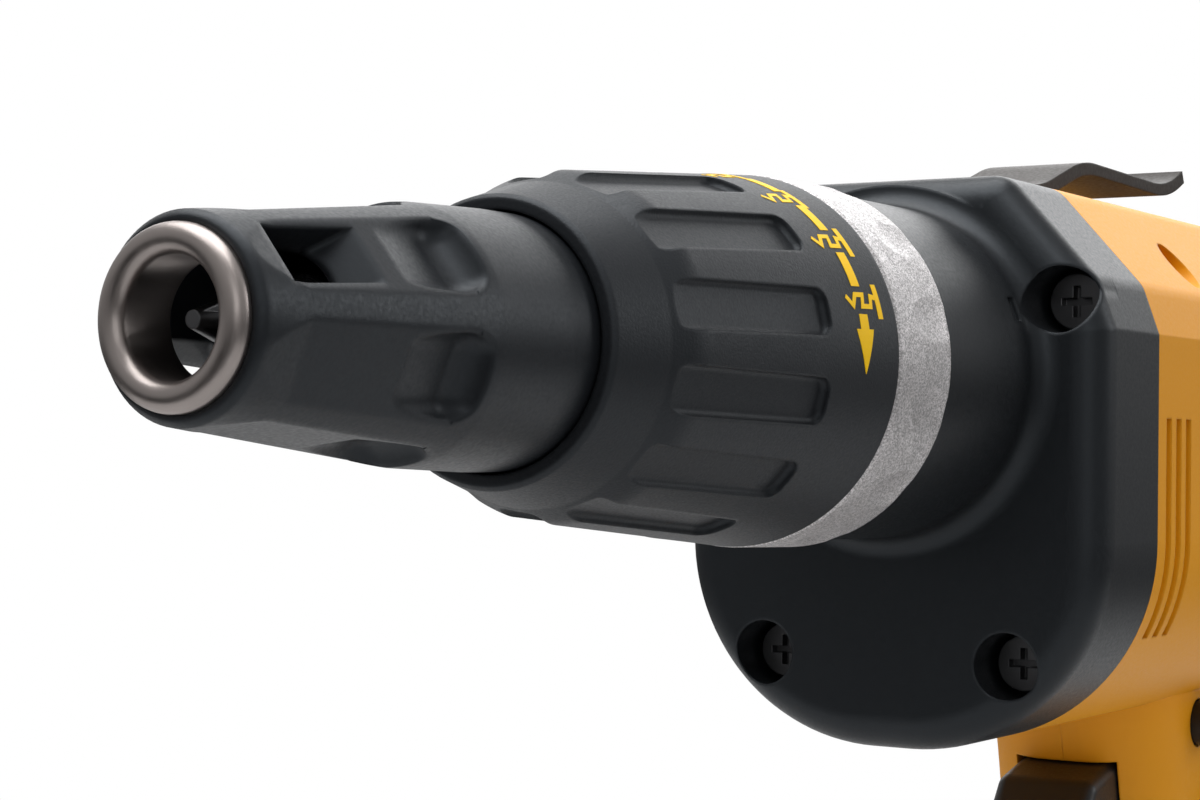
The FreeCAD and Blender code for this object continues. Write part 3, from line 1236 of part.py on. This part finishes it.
# Cord inlet bush and the clamp bar inside the handle.
inlet_floor = "-handle_below + foot_floor"
on_handle(turned("cord_inlet_bush", [
    ("inlet_bore_radius", "-handle_below - inlet_flange_length"),
    ("inlet_flange_radius", "-handle_below - inlet_flange_length"), ("inlet_flange_radius", "-handle_below"),
    ("inlet_neck_radius", "-handle_below"), ("inlet_neck_radius", inlet_floor),
    ("inlet_flange_radius", inlet_floor),
    ("inlet_flange_radius", inlet_floor + " + inlet_flange_length"),
    ("inlet_bore_radius", inlet_floor + " + inlet_flange_length")], axis="V_Axis"))
clamp_plate = prism("clamp_plate", "XZ_Plane", clamp_outline, "clamp_seat_y - clamp_thickness", "clamp_seat_y")
clamp_middle = "-(clamp_top + clamp_bottom) / 2"
clamp_face = "clamp_seat_y - clamp_thickness"
clamp_shapes = []
for number, side in enumerate(("-", "")):
    shank = rod(f"clamp_shank{number}", "XZ_Plane", side + "clamp_screw_x", clamp_middle,
                "clamp_screw_radius", clamp_face, "clamp_seat_y + clamp_screw_depth")
    head = rod(f"clamp_head{number}", "XZ_Plane", side + "clamp_screw_x", clamp_middle,
               "clamp_head_radius", clamp_face + " - clamp_head_length", clamp_face)
    clamp_shapes.append(joined(f"clamp_screw{number}", [shank, head]))
on_handle(less("cord_clamp", clamp_plate, clamp_shapes))
on_handle(fixed_shape("cord_clamp_screws", Part.makeCompound([screw.Shape for screw in clamp_shapes])))

# Belt hook: a bent strip on top of the barrel, its two screw heads let in flush.
hook_strip = prism("hook_strip", "XZ_Plane",
                   [("hook_foot_front", "barrel_top"), ("hook_foot_rear", "barrel_top"),
                    ("hook_rise_x", "barrel_top + hook_gap"), ("hook_tail_x", "barrel_top + hook_tail_gap"),
                    ("hook_tip_x", "barrel_top + hook_tip_gap"),
                    ("hook_tip_x - hook_thickness / 2", "barrel_top + hook_tip_gap + hook_thickness"),
                    ("hook_tail_x", "barrel_top + hook_tail_gap + hook_thickness"),
                    ("hook_rise_x - hook_thickness / 2", "barrel_top + hook_gap + hook_thickness"),
                    ("hook_foot_rear - hook_thickness / 2", "barrel_top + hook_thickness"),
                    ("hook_foot_front", "barrel_top + hook_thickness")],
                   "-hook_half_width", "hook_half_width")
rounded(hook_strip, "hook_bend",
        lambda edge: along(edge, 1) and value("hook_foot_front + hook_thickness") < edge.BoundBox.XMin
        and edge.BoundBox.XMin < value("hook_tip_x - hook_thickness"))
hook_shank = rod("hook_shank", "XY_Plane", "hook_screw_x", "hook_screw_y", "hook_screw_radius",
                 "barrel_top - hook_boss_depth", "barrel_top + hook_thickness")
hook_head = rod("hook_head", "XY_Plane", "hook_screw_x", "hook_screw_y", "hook_head_radius",
                "barrel_top + hook_thickness - hook_head_length", "barrel_top + hook_thickness")
hook_screws = both_sides("belt_hook_screws", joined("hook_screw", [hook_shank, hook_head]))
less("belt_hook", hook_strip, [hook_screws])

SUBPARTS = [
    "tip_ring", "nose_cone", "depth_collar", "nose_sleeve", "nose_base_ring", "collar_wave_washer",
    "gear_case", "gear_case_screws", "nose_o_ring", "front_bush", "spindle_seal", "spindle", "bit_holder",
    "bit_magnet", "bit_retaining_ring", "bit", "clutch_spring", "drive_gear", "thrust_washer", "pinion",
    "gear_plate", "front_bearing", "rear_bearing", "armature_shaft", "armature_core", "armature_windings",
    "commutator", "fan", "field_core", "field_windings", "carbon_brushes", "brush_holders", "brush_springs",
    "left_housing", "right_housing", "housing_screws", "handle_grip", "trigger", "trigger_switch",
    "trigger_spring", "lock_button", "reverse_bar", "cord_inlet_bush", "cord_clamp", "cord_clamp_screws",
    "belt_hook", "belt_hook_screws",
]
doc.recompute()
for thing in doc.Objects:
    if "Invalid" in thing.State or "Error" in thing.State:
        raise RuntimeError(thing.Label + " did not build")
for label in SUBPARTS:
    shape = doc.getObjectsByLabel(label)[0].Shape
    if shape.isNull() or not shape.isValid() or not shape.Solids:
        raise RuntimeError(label + " is not a sound solid")
    shape.exportStep(f"parts/{label}.step")
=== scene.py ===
# %% [markdown]
# This lesson dresses a drywall screwdriver. The exact solids come from the imported model, which already has
# its true size and its moving bodies. The work left for Blender is the finishes, the printed marks, two
# wound springs, and the studio.

# %% Load the imported model
import json
import math
import bmesh
import bpy
from mathutils import Matrix, Vector


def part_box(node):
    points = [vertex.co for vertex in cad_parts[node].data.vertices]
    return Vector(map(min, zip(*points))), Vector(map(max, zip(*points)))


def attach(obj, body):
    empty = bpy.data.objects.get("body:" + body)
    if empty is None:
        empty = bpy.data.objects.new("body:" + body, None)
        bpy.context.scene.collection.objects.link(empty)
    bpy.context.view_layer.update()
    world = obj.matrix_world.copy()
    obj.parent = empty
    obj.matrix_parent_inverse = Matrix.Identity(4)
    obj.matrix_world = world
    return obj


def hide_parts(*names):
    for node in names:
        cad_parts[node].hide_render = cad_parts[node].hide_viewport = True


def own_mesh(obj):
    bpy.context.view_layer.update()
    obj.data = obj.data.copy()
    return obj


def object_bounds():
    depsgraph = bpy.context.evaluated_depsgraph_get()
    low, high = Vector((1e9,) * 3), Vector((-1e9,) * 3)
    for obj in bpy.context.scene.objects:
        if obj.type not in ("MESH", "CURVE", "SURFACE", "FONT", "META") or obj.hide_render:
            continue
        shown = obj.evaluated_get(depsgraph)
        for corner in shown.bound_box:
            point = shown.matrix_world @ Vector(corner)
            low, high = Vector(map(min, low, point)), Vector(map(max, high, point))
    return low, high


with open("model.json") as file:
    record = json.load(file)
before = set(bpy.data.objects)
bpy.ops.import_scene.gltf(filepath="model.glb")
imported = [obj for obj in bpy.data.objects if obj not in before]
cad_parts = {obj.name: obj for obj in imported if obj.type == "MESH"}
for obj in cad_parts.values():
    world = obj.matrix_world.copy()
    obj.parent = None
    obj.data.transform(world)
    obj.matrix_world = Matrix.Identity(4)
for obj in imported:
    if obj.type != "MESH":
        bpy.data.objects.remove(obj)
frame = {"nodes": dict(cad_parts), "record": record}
cad_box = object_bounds()
MM = 0.001
print("nodes:", len(frame["nodes"]), "box:", [[round(v, 4) for v in corner] for corner in cad_box])

# %% [markdown]
# Shader maths reads best as plain sums. It could be linked node by node, but a long chain of links hides the
# sum that it stands for. The class below wraps one socket, so that adding or multiplying two of them adds a
# Math node, and its one method, node, makes any other node with its settings and inputs.

# %% A socket that takes part in sums
class Shade:
    """One socket of a material's tree."""

    def __init__(self, tree, socket):
        self.tree = tree
        self.socket = socket

    def node(self, kind, settings, sockets, output=0):
        made = self.tree.nodes.new(kind)
        for name, setting in settings.items():
            if name == "stops":
                for stop, (position, colour) in zip(made.color_ramp.elements, setting):
                    stop.position = position
                    stop.color = colour
            else:
                setattr(made, name, setting)
        for name, given in sockets.items():
            if isinstance(given, Shade):
                self.tree.links.new(given.socket, made.inputs[name])
            else:
                made.inputs[name].default_value = given
        return Shade(self.tree, made.outputs[output])

    def sum_with(self, operation, first, second):
        return self.node("ShaderNodeMath", {"operation": operation}, {0: first, 1: second})

    def __add__(self, other):
        return self.sum_with("ADD", self, other)

    __radd__ = __add__

    def __sub__(self, other):
        return self.sum_with("SUBTRACT", self, other)

    def __rsub__(self, other):
        return self.sum_with("SUBTRACT", other, self)

    def __mul__(self, other):
        return self.sum_with("MULTIPLY", self, other)

    __rmul__ = __mul__


print("sums on sockets: add, subtract, multiply")

# %% [markdown]
# Every finish starts from the same shader. What is the same all over a piece goes on the shader's own
# sockets, and only what changes from place to place comes from a pattern. The patterns read Object
# coordinates, because those stay with a piece when it moves, and their sizes are in millimetres, so that a
# grain is as fine as the real one.

# %% The start of a finish and the patterns on it
EDGE_SAMPLES = 6
NOISE_MIDDLE = 0.5


def new_finish(name, **constants):
    """A material with constants on its shader, and its Object coordinates to build patterns on."""
    material = bpy.data.materials.new(name)
    material.use_nodes = True
    tree = material.node_tree
    shader = tree.nodes["Principled BSDF"]
    for socket, constant in constants.items():
        shader.inputs[socket.replace("_", " ")].default_value = constant
    place = Shade(tree, tree.nodes.new("ShaderNodeTexCoord").outputs["Object"])
    return material, shader, place


def feed(shader, socket, shade):
    shade.tree.links.new(shade.socket, shader.inputs[socket])


def cloudy(place, size, detail):
    """Noise with clouds of a size in millimetres."""
    return place.node("ShaderNodeTexNoise", {}, {"Vector": place, "Scale": 1 / (size * MM), "Detail": detail})


def soft_edges(place, radius):
    """Normals that round off every edge by a radius in millimetres."""
    return place.node("ShaderNodeBevel", {"samples": EDGE_SAMPLES}, {"Radius": radius * MM})


def bumped(height, strength, depth, normal):
    """A bump with a depth in millimetres, on top of other normals."""
    return height.node("ShaderNodeBump", {}, {"Strength": strength, "Distance": depth * MM, "Height": height,
                                              "Normal": normal})


print("patterns: noise, soft edges, bump")

# %% [markdown]
# Moulded plastic is never a perfect mirror of its tool: a spark-eroded mould leaves a fine grain, and every
# edge is a little soft. A noise of the grain's size drives the roughness and a bump, and a Bevel node rounds
# the shading of the edges. Cutting real rounds on every edge would cost far more faces for the same look.
# Rubber and the lacquer on the belt hook are made the same way, with a coarser grain or less sheen.

# %% Plastics, rubbers and lacquer
GRAIN_DETAIL = 3.0
GRAIN_SPREAD = 0.3
GRAIN_STRENGTH = 0.6
COOL = (0.84, 0.92, 1.0)


def moulded(name, colour, roughness, grain, depth, edge=0.35, sheen=0.5, gleam=(1, 1, 1)):
    """A grain of a size and depth, and edges of a radius, all in millimetres."""
    material, shader, place = new_finish(name, Base_Color=(*colour, 1), Specular_IOR_Level=sheen,
                                         Specular_Tint=(*gleam, 1))
    noise = cloudy(place, grain, GRAIN_DETAIL)
    feed(shader, "Roughness", (noise - NOISE_MIDDLE) * GRAIN_SPREAD + roughness)
    feed(shader, "Normal", bumped(noise, GRAIN_STRENGTH, depth, soft_edges(place, edge)))
    return material


MOULDED = {
    "nose_plastic": ((0.0085, 0.0095, 0.0115), 0.42, 0.45, 0.02, 1.1, 0.4, COOL),
    "collar_plastic": ((0.0085, 0.0092, 0.011), 0.48, 0.32, 0.06, 0.6, 0.4, COOL),
    "case_plastic": ((0.0072, 0.0082, 0.0096), 0.4, 0.45, 0.02, 0.7, 0.4, COOL),
    "yellow_plastic": ((0.82, 0.34, 0.005), 0.48, 0.5, 0.03, 0.5, 0.28),
    "grip_rubber": ((0.009, 0.009, 0.01), 0.62, 0.6, 0.08, 0.5, 0.35),
    "control_plastic": ((0.01, 0.01, 0.011), 0.4, 0.5, 0.02, 0.4, 0.4),
    "seal_rubber": ((0.01, 0.01, 0.01), 0.6, 0.6, 0.03),
    "fan_plastic": ((0.03, 0.03, 0.033), 0.5, 0.6, 0.03),
    "insulator": ((0.045, 0.035, 0.026), 0.5, 0.6, 0.03),
    "carbon": ((0.02, 0.02, 0.02), 0.7, 0.4, 0.03),
    "hook_steel": ((0.017, 0.0115, 0.008), 0.45, 0.6, 0.02, 0.4, 0.25),
    "mark_ink": ((1.0, 0.6, 0.0), 0.5, 0.3, 0.01, 0.02, 0.2),
}
finishes = {name: moulded(name, *look) for name, look in MOULDED.items()}
print("moulded finishes:", len(finishes))

# %% [markdown]
# The ring behind the depth collar is painted with metal flake. Each flake lies at its own angle, so under
# the same light one sparkles and the next is dull. Voronoi cells the size of a flake give every flake one
# random value, which drives its brightness and roughness, and a bump tilts it. A second bump, some
# millimetres wide, stands for the uneven casting under the paint, and the flakes lie on top of it. A plain
# noise would only look dirty.

# %% Flake paint
FLAKE_STOPS = (0.15, 0.95)
FLAKE_ROUGHNESS = 0.56
FLAKE_POLISH = 0.18
FLAKE_STRENGTH, FLAKE_TILT = 0.3, 0.03
DENT_DETAIL = 1.0
DENT_STRENGTH, DENT_DEPTH = 0.8, 0.5
RING_EDGE = 0.5


def flake_paint(name, dull, bright, flake, dent):
    """Flakes between two colours, and dents below them, each of a size in millimetres."""
    material, shader, place = new_finish(name, Metallic=0.55, Coat_Weight=0.05, Coat_Roughness=0.4)
    cells = place.node("ShaderNodeTexVoronoi", {}, {"Vector": place, "Scale": 1 / (flake * MM)}, "Color")
    glint = cells.node("ShaderNodeSeparateColor", {}, {"Color": cells}, "Red")
    tilt = cells.node("ShaderNodeSeparateColor", {}, {"Color": cells}, "Green")
    stops = list(zip(FLAKE_STOPS, ((*dull, 1), (*bright, 1))))
    feed(shader, "Base Color", glint.node("ShaderNodeValToRGB", {"stops": stops}, {"Fac": glint}))
    feed(shader, "Roughness", FLAKE_ROUGHNESS - glint * FLAKE_POLISH)
    dents = cloudy(place, dent, DENT_DETAIL)
    cast = bumped(dents, DENT_STRENGTH, DENT_DEPTH, soft_edges(place, RING_EDGE))
    feed(shader, "Normal", bumped(tilt, FLAKE_STRENGTH, FLAKE_TILT, cast))
    return material


finishes["silver_paint"] = flake_paint("silver_paint", (0.35, 0.34, 0.34), (0.79, 0.76, 0.77), 0.18, 5.0)
print("flake paint:", finishes["silver_paint"].name)

# %% [markdown]
# Bare metals differ in colour and in how they were worked. Turned parts carry fine rings about the spindle.
# A noise that is stretched across the spindle and squeezed along it gives them their lines, and needs no
# texture that would have to be wrapped round each piece.

# %% Metals
LINE_SIZE = 0.12
LINE_DETAIL = 2.0
LINE_SPREAD = 0.25
LINE_SQUEEZE = (1.0, 0.05, 0.05)
METAL_EDGE = 0.25


def worked_metal(name, colour, roughness):
    material, shader, place = new_finish(name, Base_Color=(*colour, 1), Metallic=1.0)
    squeezed = place.node("ShaderNodeMapping", {}, {"Vector": place, "Scale": LINE_SQUEEZE})
    noise = cloudy(squeezed, LINE_SIZE, LINE_DETAIL)
    feed(shader, "Roughness", (noise - NOISE_MIDDLE) * LINE_SPREAD + roughness)
    feed(shader, "Normal", soft_edges(place, METAL_EDGE))
    return material


METALS = {
    "tip_steel": ((0.36, 0.32, 0.305), 0.36), "steel": ((0.52, 0.52, 0.53), 0.3),
    "screw_steel": ((0.12, 0.12, 0.125), 0.36), "spring_steel": ((0.42, 0.42, 0.44), 0.3),
    "bronze": ((0.5, 0.3, 0.12), 0.4), "plate_aluminium": ((0.7, 0.7, 0.72), 0.38),
    "core_iron": ((0.16, 0.16, 0.17), 0.5), "copper": ((0.55, 0.2, 0.08), 0.35),
    "brass": ((0.6, 0.42, 0.14), 0.3), "magnet": ((0.35, 0.35, 0.36), 0.3),
}
for name, look in METALS.items():
    finishes[name] = worked_metal(name, *look)
print("finishes:", len(finishes))

# %% [markdown]
# The record names one material slot for every solid, as a parts list would. The pieces could be dressed one
# by one, but a loop over that list also reaches a piece that is added later, without another line here.

# %% Give every node the finish of its slot
for subpart in frame["record"]["subparts"]:
    node = frame["nodes"][subpart["node"]]
    if not node.material_slots:
        node.data.materials.append(None)
    for holder in node.material_slots:
        holder.material = finishes[subpart["material_slot"]]

# %% [markdown]
# The collar's rear band is printed in yellow: an arrow, a run of dashes and small screw signs that show how
# deep the screw will sit. An image would blur close up, so the marks are real paint. Each is drawn flat, in
# millimetres along the spindle and degrees round it, cut fine enough to bend, and wrapped on to the band
# later.

# %% A stroke of paint, drawn flat
BAND_RADIUS = 23.0
BEND_STEP = 2.0
LEAST_MITRE = 0.5


def divided(path):
    """A path of (x, degrees, width) with a point at least every few degrees, so that it can bend."""
    points = [path[0]]
    for start, end in zip(path, path[1:]):
        pieces = max(1, math.ceil(abs(end[1] - start[1]) / BEND_STEP))
        for piece in range(1, pieces + 1):
            points.append(Vector(start).lerp(Vector(end), piece / pieces))
    return points


def grown_from(corner, edge):
    """The end of an extruded edge that came from a corner."""
    return next(v for v in edge.verts if any(link.other_vert(v) is corner for link in v.link_edges))


def add_stroke(bm, path):
    """Drag a short edge along a path, mitred at its turns, and leave a ribbon of faces behind it."""
    arc = math.radians(1) * BAND_RADIUS
    points = [Vector((x, degrees * arc, width)) for x, degrees, width in divided(path)]
    ribbon = None
    for order, point in enumerate(points):
        before = (point - points[order - 1]).xy.normalized() if order else None
        after = (points[order + 1] - point).xy.normalized() if order + 1 < len(points) else None
        along = ((before or after) + (after or before)).normalized()
        mitre = max(LEAST_MITRE, along.dot(after or before))
        side = Vector((-along.y, along.x, 0)) * (point.z / 2 / mitre)
        middle = Vector((point.x, point.y, 0))
        if ribbon is None:
            ends = [bm.verts.new(middle + side), bm.verts.new(middle - side)]
            ribbon = bm.edges.new(ends)
            continue
        grown = bmesh.ops.extrude_edge_only(bm, edges=[ribbon])["geom"]
        ribbon = next(part for part in grown if isinstance(part, bmesh.types.BMEdge))
        ends = [grown_from(corner, ribbon) for corner in ends]
        ends[0].co, ends[1].co = middle + side, middle - side


print("strokes bend every", BEND_STEP, "degrees")

# %% [markdown]
# A screw sign is a zigzag of thread that ends at the edge of a board. The signs sit a little further forward
# one after another, as the screw is set deeper, so one function draws them all from the place of that edge.

# %% The strokes of the marks
THREAD_WIDTH = 0.62
BOARD_WIDTH = 1.05
BOARD_REACH = 5.4
DASH_WIDTH = 1.85
DASH_PLACE = 97.3
DASH_START, DASH_END = 16.2, 4.6
ZIGZAG = ((-7.1, -1.2), (-5.8, 1.7), (-4.9, -1.9), (-3.2, -1.9),
          (-3.7, 1.7), (-1.8, 1.7), (-1.4, -1.5), (0.0, -0.9))
ARROW_SHAFT = [(97.35, 77.2, DASH_WIDTH), (97.35, 81.8, DASH_WIDTH)]
ARROW_HEAD = [(97.35, 81.8, 3.9), (97.4, 95.2, 0.1)]
SIGNS = 4
FIRST_SIGN, SIGN_STEP = 73.0, 20.3
FIRST_BOARD, BOARD_STEP = 101.4, 1.5


def screw_sign(middle, board):
    """A screw whose threads zigzag up to a board's edge, seen from the side."""
    thread = [(board + x, middle + degrees, THREAD_WIDTH) for x, degrees in ZIGZAG]
    edge = [(board, middle - BOARD_REACH, BOARD_WIDTH), (board, middle + BOARD_REACH, BOARD_WIDTH)]
    return [thread, edge]


strokes = [ARROW_SHAFT, ARROW_HEAD]
for order in range(SIGNS):
    middle = FIRST_SIGN - SIGN_STEP * order
    strokes += screw_sign(middle, FIRST_BOARD - BOARD_STEP * order)
    strokes.append([(DASH_PLACE, middle - DASH_START, DASH_WIDTH), (DASH_PLACE, middle - DASH_END, DASH_WIDTH)])
print("marks:", len(strokes))

# %% [markdown]
# The flat ribbons become a skin of paint when they are extruded and every vertex is moved on to the tapered
# band: the lower ones just below its surface and the upper ones just above it. A skin with no thickness
# would flicker where it lies in the same plane as the plastic.

# %% Marks wrapped on the collar
BAND_TAPER = 0.0857
INK_LIFT = 0.05 * MM
INK_SINK = 0.04 * MM
collar_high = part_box("depth_collar")[1]


def on_band(x, degrees, lift):
    """The place on the collar's tapered band at a distance from the nose ring and an angle from the top."""
    radius = collar_high.z - (collar_high.x - x * MM) * BAND_TAPER + lift
    angle = math.radians(degrees)
    return Vector((x * MM, -radius * math.sin(angle), radius * math.cos(angle)))


bm = bmesh.new()
for stroke in strokes:
    add_stroke(bm, stroke)
raised = bmesh.ops.extrude_face_region(bm, geom=bm.faces[:])
lifted = {v for v in raised["geom"] if isinstance(v, bmesh.types.BMVert)}
for vert in bm.verts:
    degrees = math.degrees(vert.co.y / BAND_RADIUS)
    vert.co = on_band(vert.co.x, degrees, INK_LIFT if vert in lifted else -INK_SINK)
bmesh.ops.recalc_face_normals(bm, faces=bm.faces)
mesh = bpy.data.meshes.new("collar_marks")
bm.to_mesh(mesh)
bm.free()
mesh.materials.append(finishes["mark_ink"])
collar_marks = bpy.data.objects.new("collar_marks", mesh)
bpy.context.scene.collection.objects.link(collar_marks)
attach(collar_marks, "collar")
print("faces of paint:", len(mesh.polygons))

# %% [markdown]
# A spring can't follow a joint as a rigid piece does: one end stays while the other is pushed. Two of them
# work inside the tool, and a stiff coil would run through what it pushes on. Each is wound here by a spin
# that also advances along its axis, which makes a screw of one small circle.

# %% A wound spring
TURNS = 4
TURN_STEPS = 24
WIRE_SIDES = 10
QUARTER = math.radians(90)


def wound_spring(name, start, end, coil, wire):
    """A coil of round wire between two places, in millimetres."""
    along = (Vector(end) - Vector(start)) * MM
    steps = TURNS * TURN_STEPS
    bm = bmesh.new()
    upright = Matrix.Translation((coil * MM, 0, wire * MM)) @ Matrix.Rotation(QUARTER, 4, "X")
    bmesh.ops.create_circle(bm, segments=WIRE_SIDES, radius=wire * MM, matrix=upright)
    bmesh.ops.spin(bm, geom=bm.verts[:] + bm.edges[:], cent=(0, 0, 0), axis=(0, 0, 1), angle=math.tau * TURNS,
                   steps=steps, dvec=(0, 0, (along.length - 2 * wire * MM) / steps), use_merge=False)
    bmesh.ops.holes_fill(bm, edges=[edge for edge in bm.edges if edge.is_boundary])
    place = Matrix.Translation(Vector(start) * MM) @ along.to_track_quat("Z", "Y").to_matrix().to_4x4()
    bmesh.ops.transform(bm, matrix=place, verts=bm.verts)
    bmesh.ops.recalc_face_normals(bm, faces=bm.faces)
    for face in bm.faces:
        face.smooth = len(face.verts) == 4
    mesh = bpy.data.meshes.new(name)
    bm.to_mesh(mesh)
    bm.free()
    mesh.materials.append(finishes["spring_steel"])
    spring = bpy.data.objects.new(name, mesh)
    bpy.context.scene.collection.objects.link(spring)
    return spring, along


print("turns of each spring:", TURNS)

# %% [markdown]
# The clutch spring holds the bit away from the gear until the screw is pressed, and the trigger spring
# brings the trigger back. Each coil rides on the body that presses it, in place of the model's own spring,
# which is hidden.

# %% Springs on their bodies
HANDLE_LEAN = math.radians(14.0)
TRIGGER_SPRING_HALF = 3.2
pull_way = Vector((math.cos(HANDLE_LEAN), 0, math.sin(HANDLE_LEAN)))
trigger_low, trigger_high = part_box("trigger_spring")
trigger_middle = (trigger_low + trigger_high) / 2 / MM
trigger_reach = pull_way * TRIGGER_SPRING_HALF
CLUTCH = ("clutch", "spindle_press", (140.3, 0, 0), (150.1, 0, 0))
TRIGGER = ("trigger", "trigger_pull", trigger_middle - trigger_reach, trigger_middle + trigger_reach)
for node, (body, joint, start, end), coil, wire, travel in (
        ("clutch_spring", CLUTCH, 8.3, 0.55, 3.0), ("trigger_spring", TRIGGER, 3.2, 0.4, 6.0)):
    spring, along = wound_spring(node + "_coil", start, end, coil, wire)
    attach(spring, body)
    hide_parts(node)
    1 - travel * MM / along.length
    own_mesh(spring)
    print("spring:", spring.name, "faces:", len(spring.data.polygons))

# %% [markdown]
# A tool is shown best in a plain studio. The pale floor is one plane at the foot of the handle, with no
# pattern that would draw the eye.

# %% Floor
FLOOR_SIZE = 0.8
bpy.ops.mesh.primitive_plane_add(size=FLOOR_SIZE, location=(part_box("trigger")[0].x, 0, cad_box[0][2]))
floor = bpy.context.object
floor.name = "floor"
pale, _, _ = new_finish("pale_floor", Base_Color=(0.55, 0.55, 0.55, 1), Roughness=0.9)
floor.data.materials.append(pale)
print("floor:", FLOOR_SIZE, "m")

# %% [markdown]
# Black plastic is seen by what it mirrors, so the lamps are large areas and not points: a soft one overhead,
# a bright wall behind that draws a thin line of light along every edge, a smaller window in that wall,
# another at the side that picks out the ribs, and a weak fill from the nose.

# %% Lamps
def soft_lamp(name, place, target, size, power):
    data = bpy.data.lights.new(name, "AREA")
    data.shape = "RECTANGLE"
    data.size, data.size_y = size
    data.energy = power
    lamp = bpy.data.objects.new(name, data)
    lamp.location = place
    lamp.rotation_euler = (Vector(target) - Vector(place)).to_track_quat("-Z", "Y").to_euler()
    lamp.visible_camera = False
    bpy.context.scene.collection.objects.link(lamp)


soft_lamp("overhead", place=(0.05, 0.1, 0.7), target=(0.08, 0.05, 0), size=(0.9, 0.8), power=8)
soft_lamp("back_wall", place=(1.2, 0.45, 0.58), target=(0.1, 0, 0), size=(1.8, 0.7), power=6.5)
soft_lamp("rear_window", place=(1.2, 0.12, 0.55), target=(0.1, 0, 0), size=(0.6, 0.4), power=0.7)
soft_lamp("side_window", place=(0.75, -0.8, 0.32), target=(0.1, 0, 0), size=(0.35, 0.35), power=1.2)
soft_lamp("front_fill", place=(-0.7, -0.75, 0.3), target=(0.08, 0, 0), size=(0.6, 0.6), power=1.0)
print("lamps:", len(bpy.data.lights))

# %% [markdown]
# The surround is white where it is seen, but lights the tool only a little, and hardly at all from below the
# horizon. A studio that is as white as it looks would turn black plastic grey. The Light Path node tells
# what is seen from what lights, and the height of the direction tells above from below.

# %% White surround
LIGHT_BELOW = 0.05
LIGHT_ABOVE = 0.42
HORIZON = 0.1
world = bpy.data.worlds.new("white_surround")
world.use_nodes = True
surround = world.node_tree.nodes["Background"]
surround.inputs["Color"].default_value = (1, 1, 1, 1)
seen = Shade(world.node_tree, world.node_tree.nodes.new("ShaderNodeLightPath").outputs["Is Camera Ray"])
way = seen.node("ShaderNodeTexCoord", {}, {}, "Generated")
height = way.node("ShaderNodeSeparateXYZ", {}, {"Vector": way}, "Z")
glow = height.node("ShaderNodeMapRange", {}, {"Value": height, "From Min": -HORIZON, "From Max": HORIZON,
                                              "To Min": LIGHT_BELOW, "To Max": LIGHT_ABOVE})
feed(surround, "Strength", seen * (1 - glow) + glow)
bpy.context.scene.world = world
bpy.context.scene.view_settings.view_transform = "Standard"
print("light from above and below:", LIGHT_ABOVE, LIGHT_BELOW)

# %% [markdown]
# The camera stands close to the nose, a little below the spindle, with a long lens. It could be placed by
# eye, but the circles of the nose say more: each circle of known radius fixes how far and how turned it is
# seen.

# %% Camera
CAMERA_PLACE = Vector((-174.3, -156.7, -11.85)) * MM
CAMERA_HEADING = 32.26
CAMERA_TILT = 1.18
CAMERA_ROLL = 0.75
camera_data = bpy.data.cameras.new("camera")
camera_data.sensor_width = 36.0
camera_data.lens = 75.0
camera_data.clip_start = 0.01
camera = bpy.data.objects.new("camera", camera_data)
heading = Matrix.Rotation(math.radians(CAMERA_HEADING) - QUARTER, 4, "Z")
tilt = Matrix.Rotation(math.radians(CAMERA_TILT) + QUARTER, 4, "X")
roll = Matrix.Rotation(math.radians(CAMERA_ROLL), 4, "Z")
camera.matrix_world = Matrix.Translation(CAMERA_PLACE) @ heading @ tilt @ roll
bpy.context.scene.collection.objects.link(camera)
bpy.context.scene.camera = camera
print("camera:", [round(v, 4) for v in CAMERA_PLACE], "lens:", camera_data.lens)
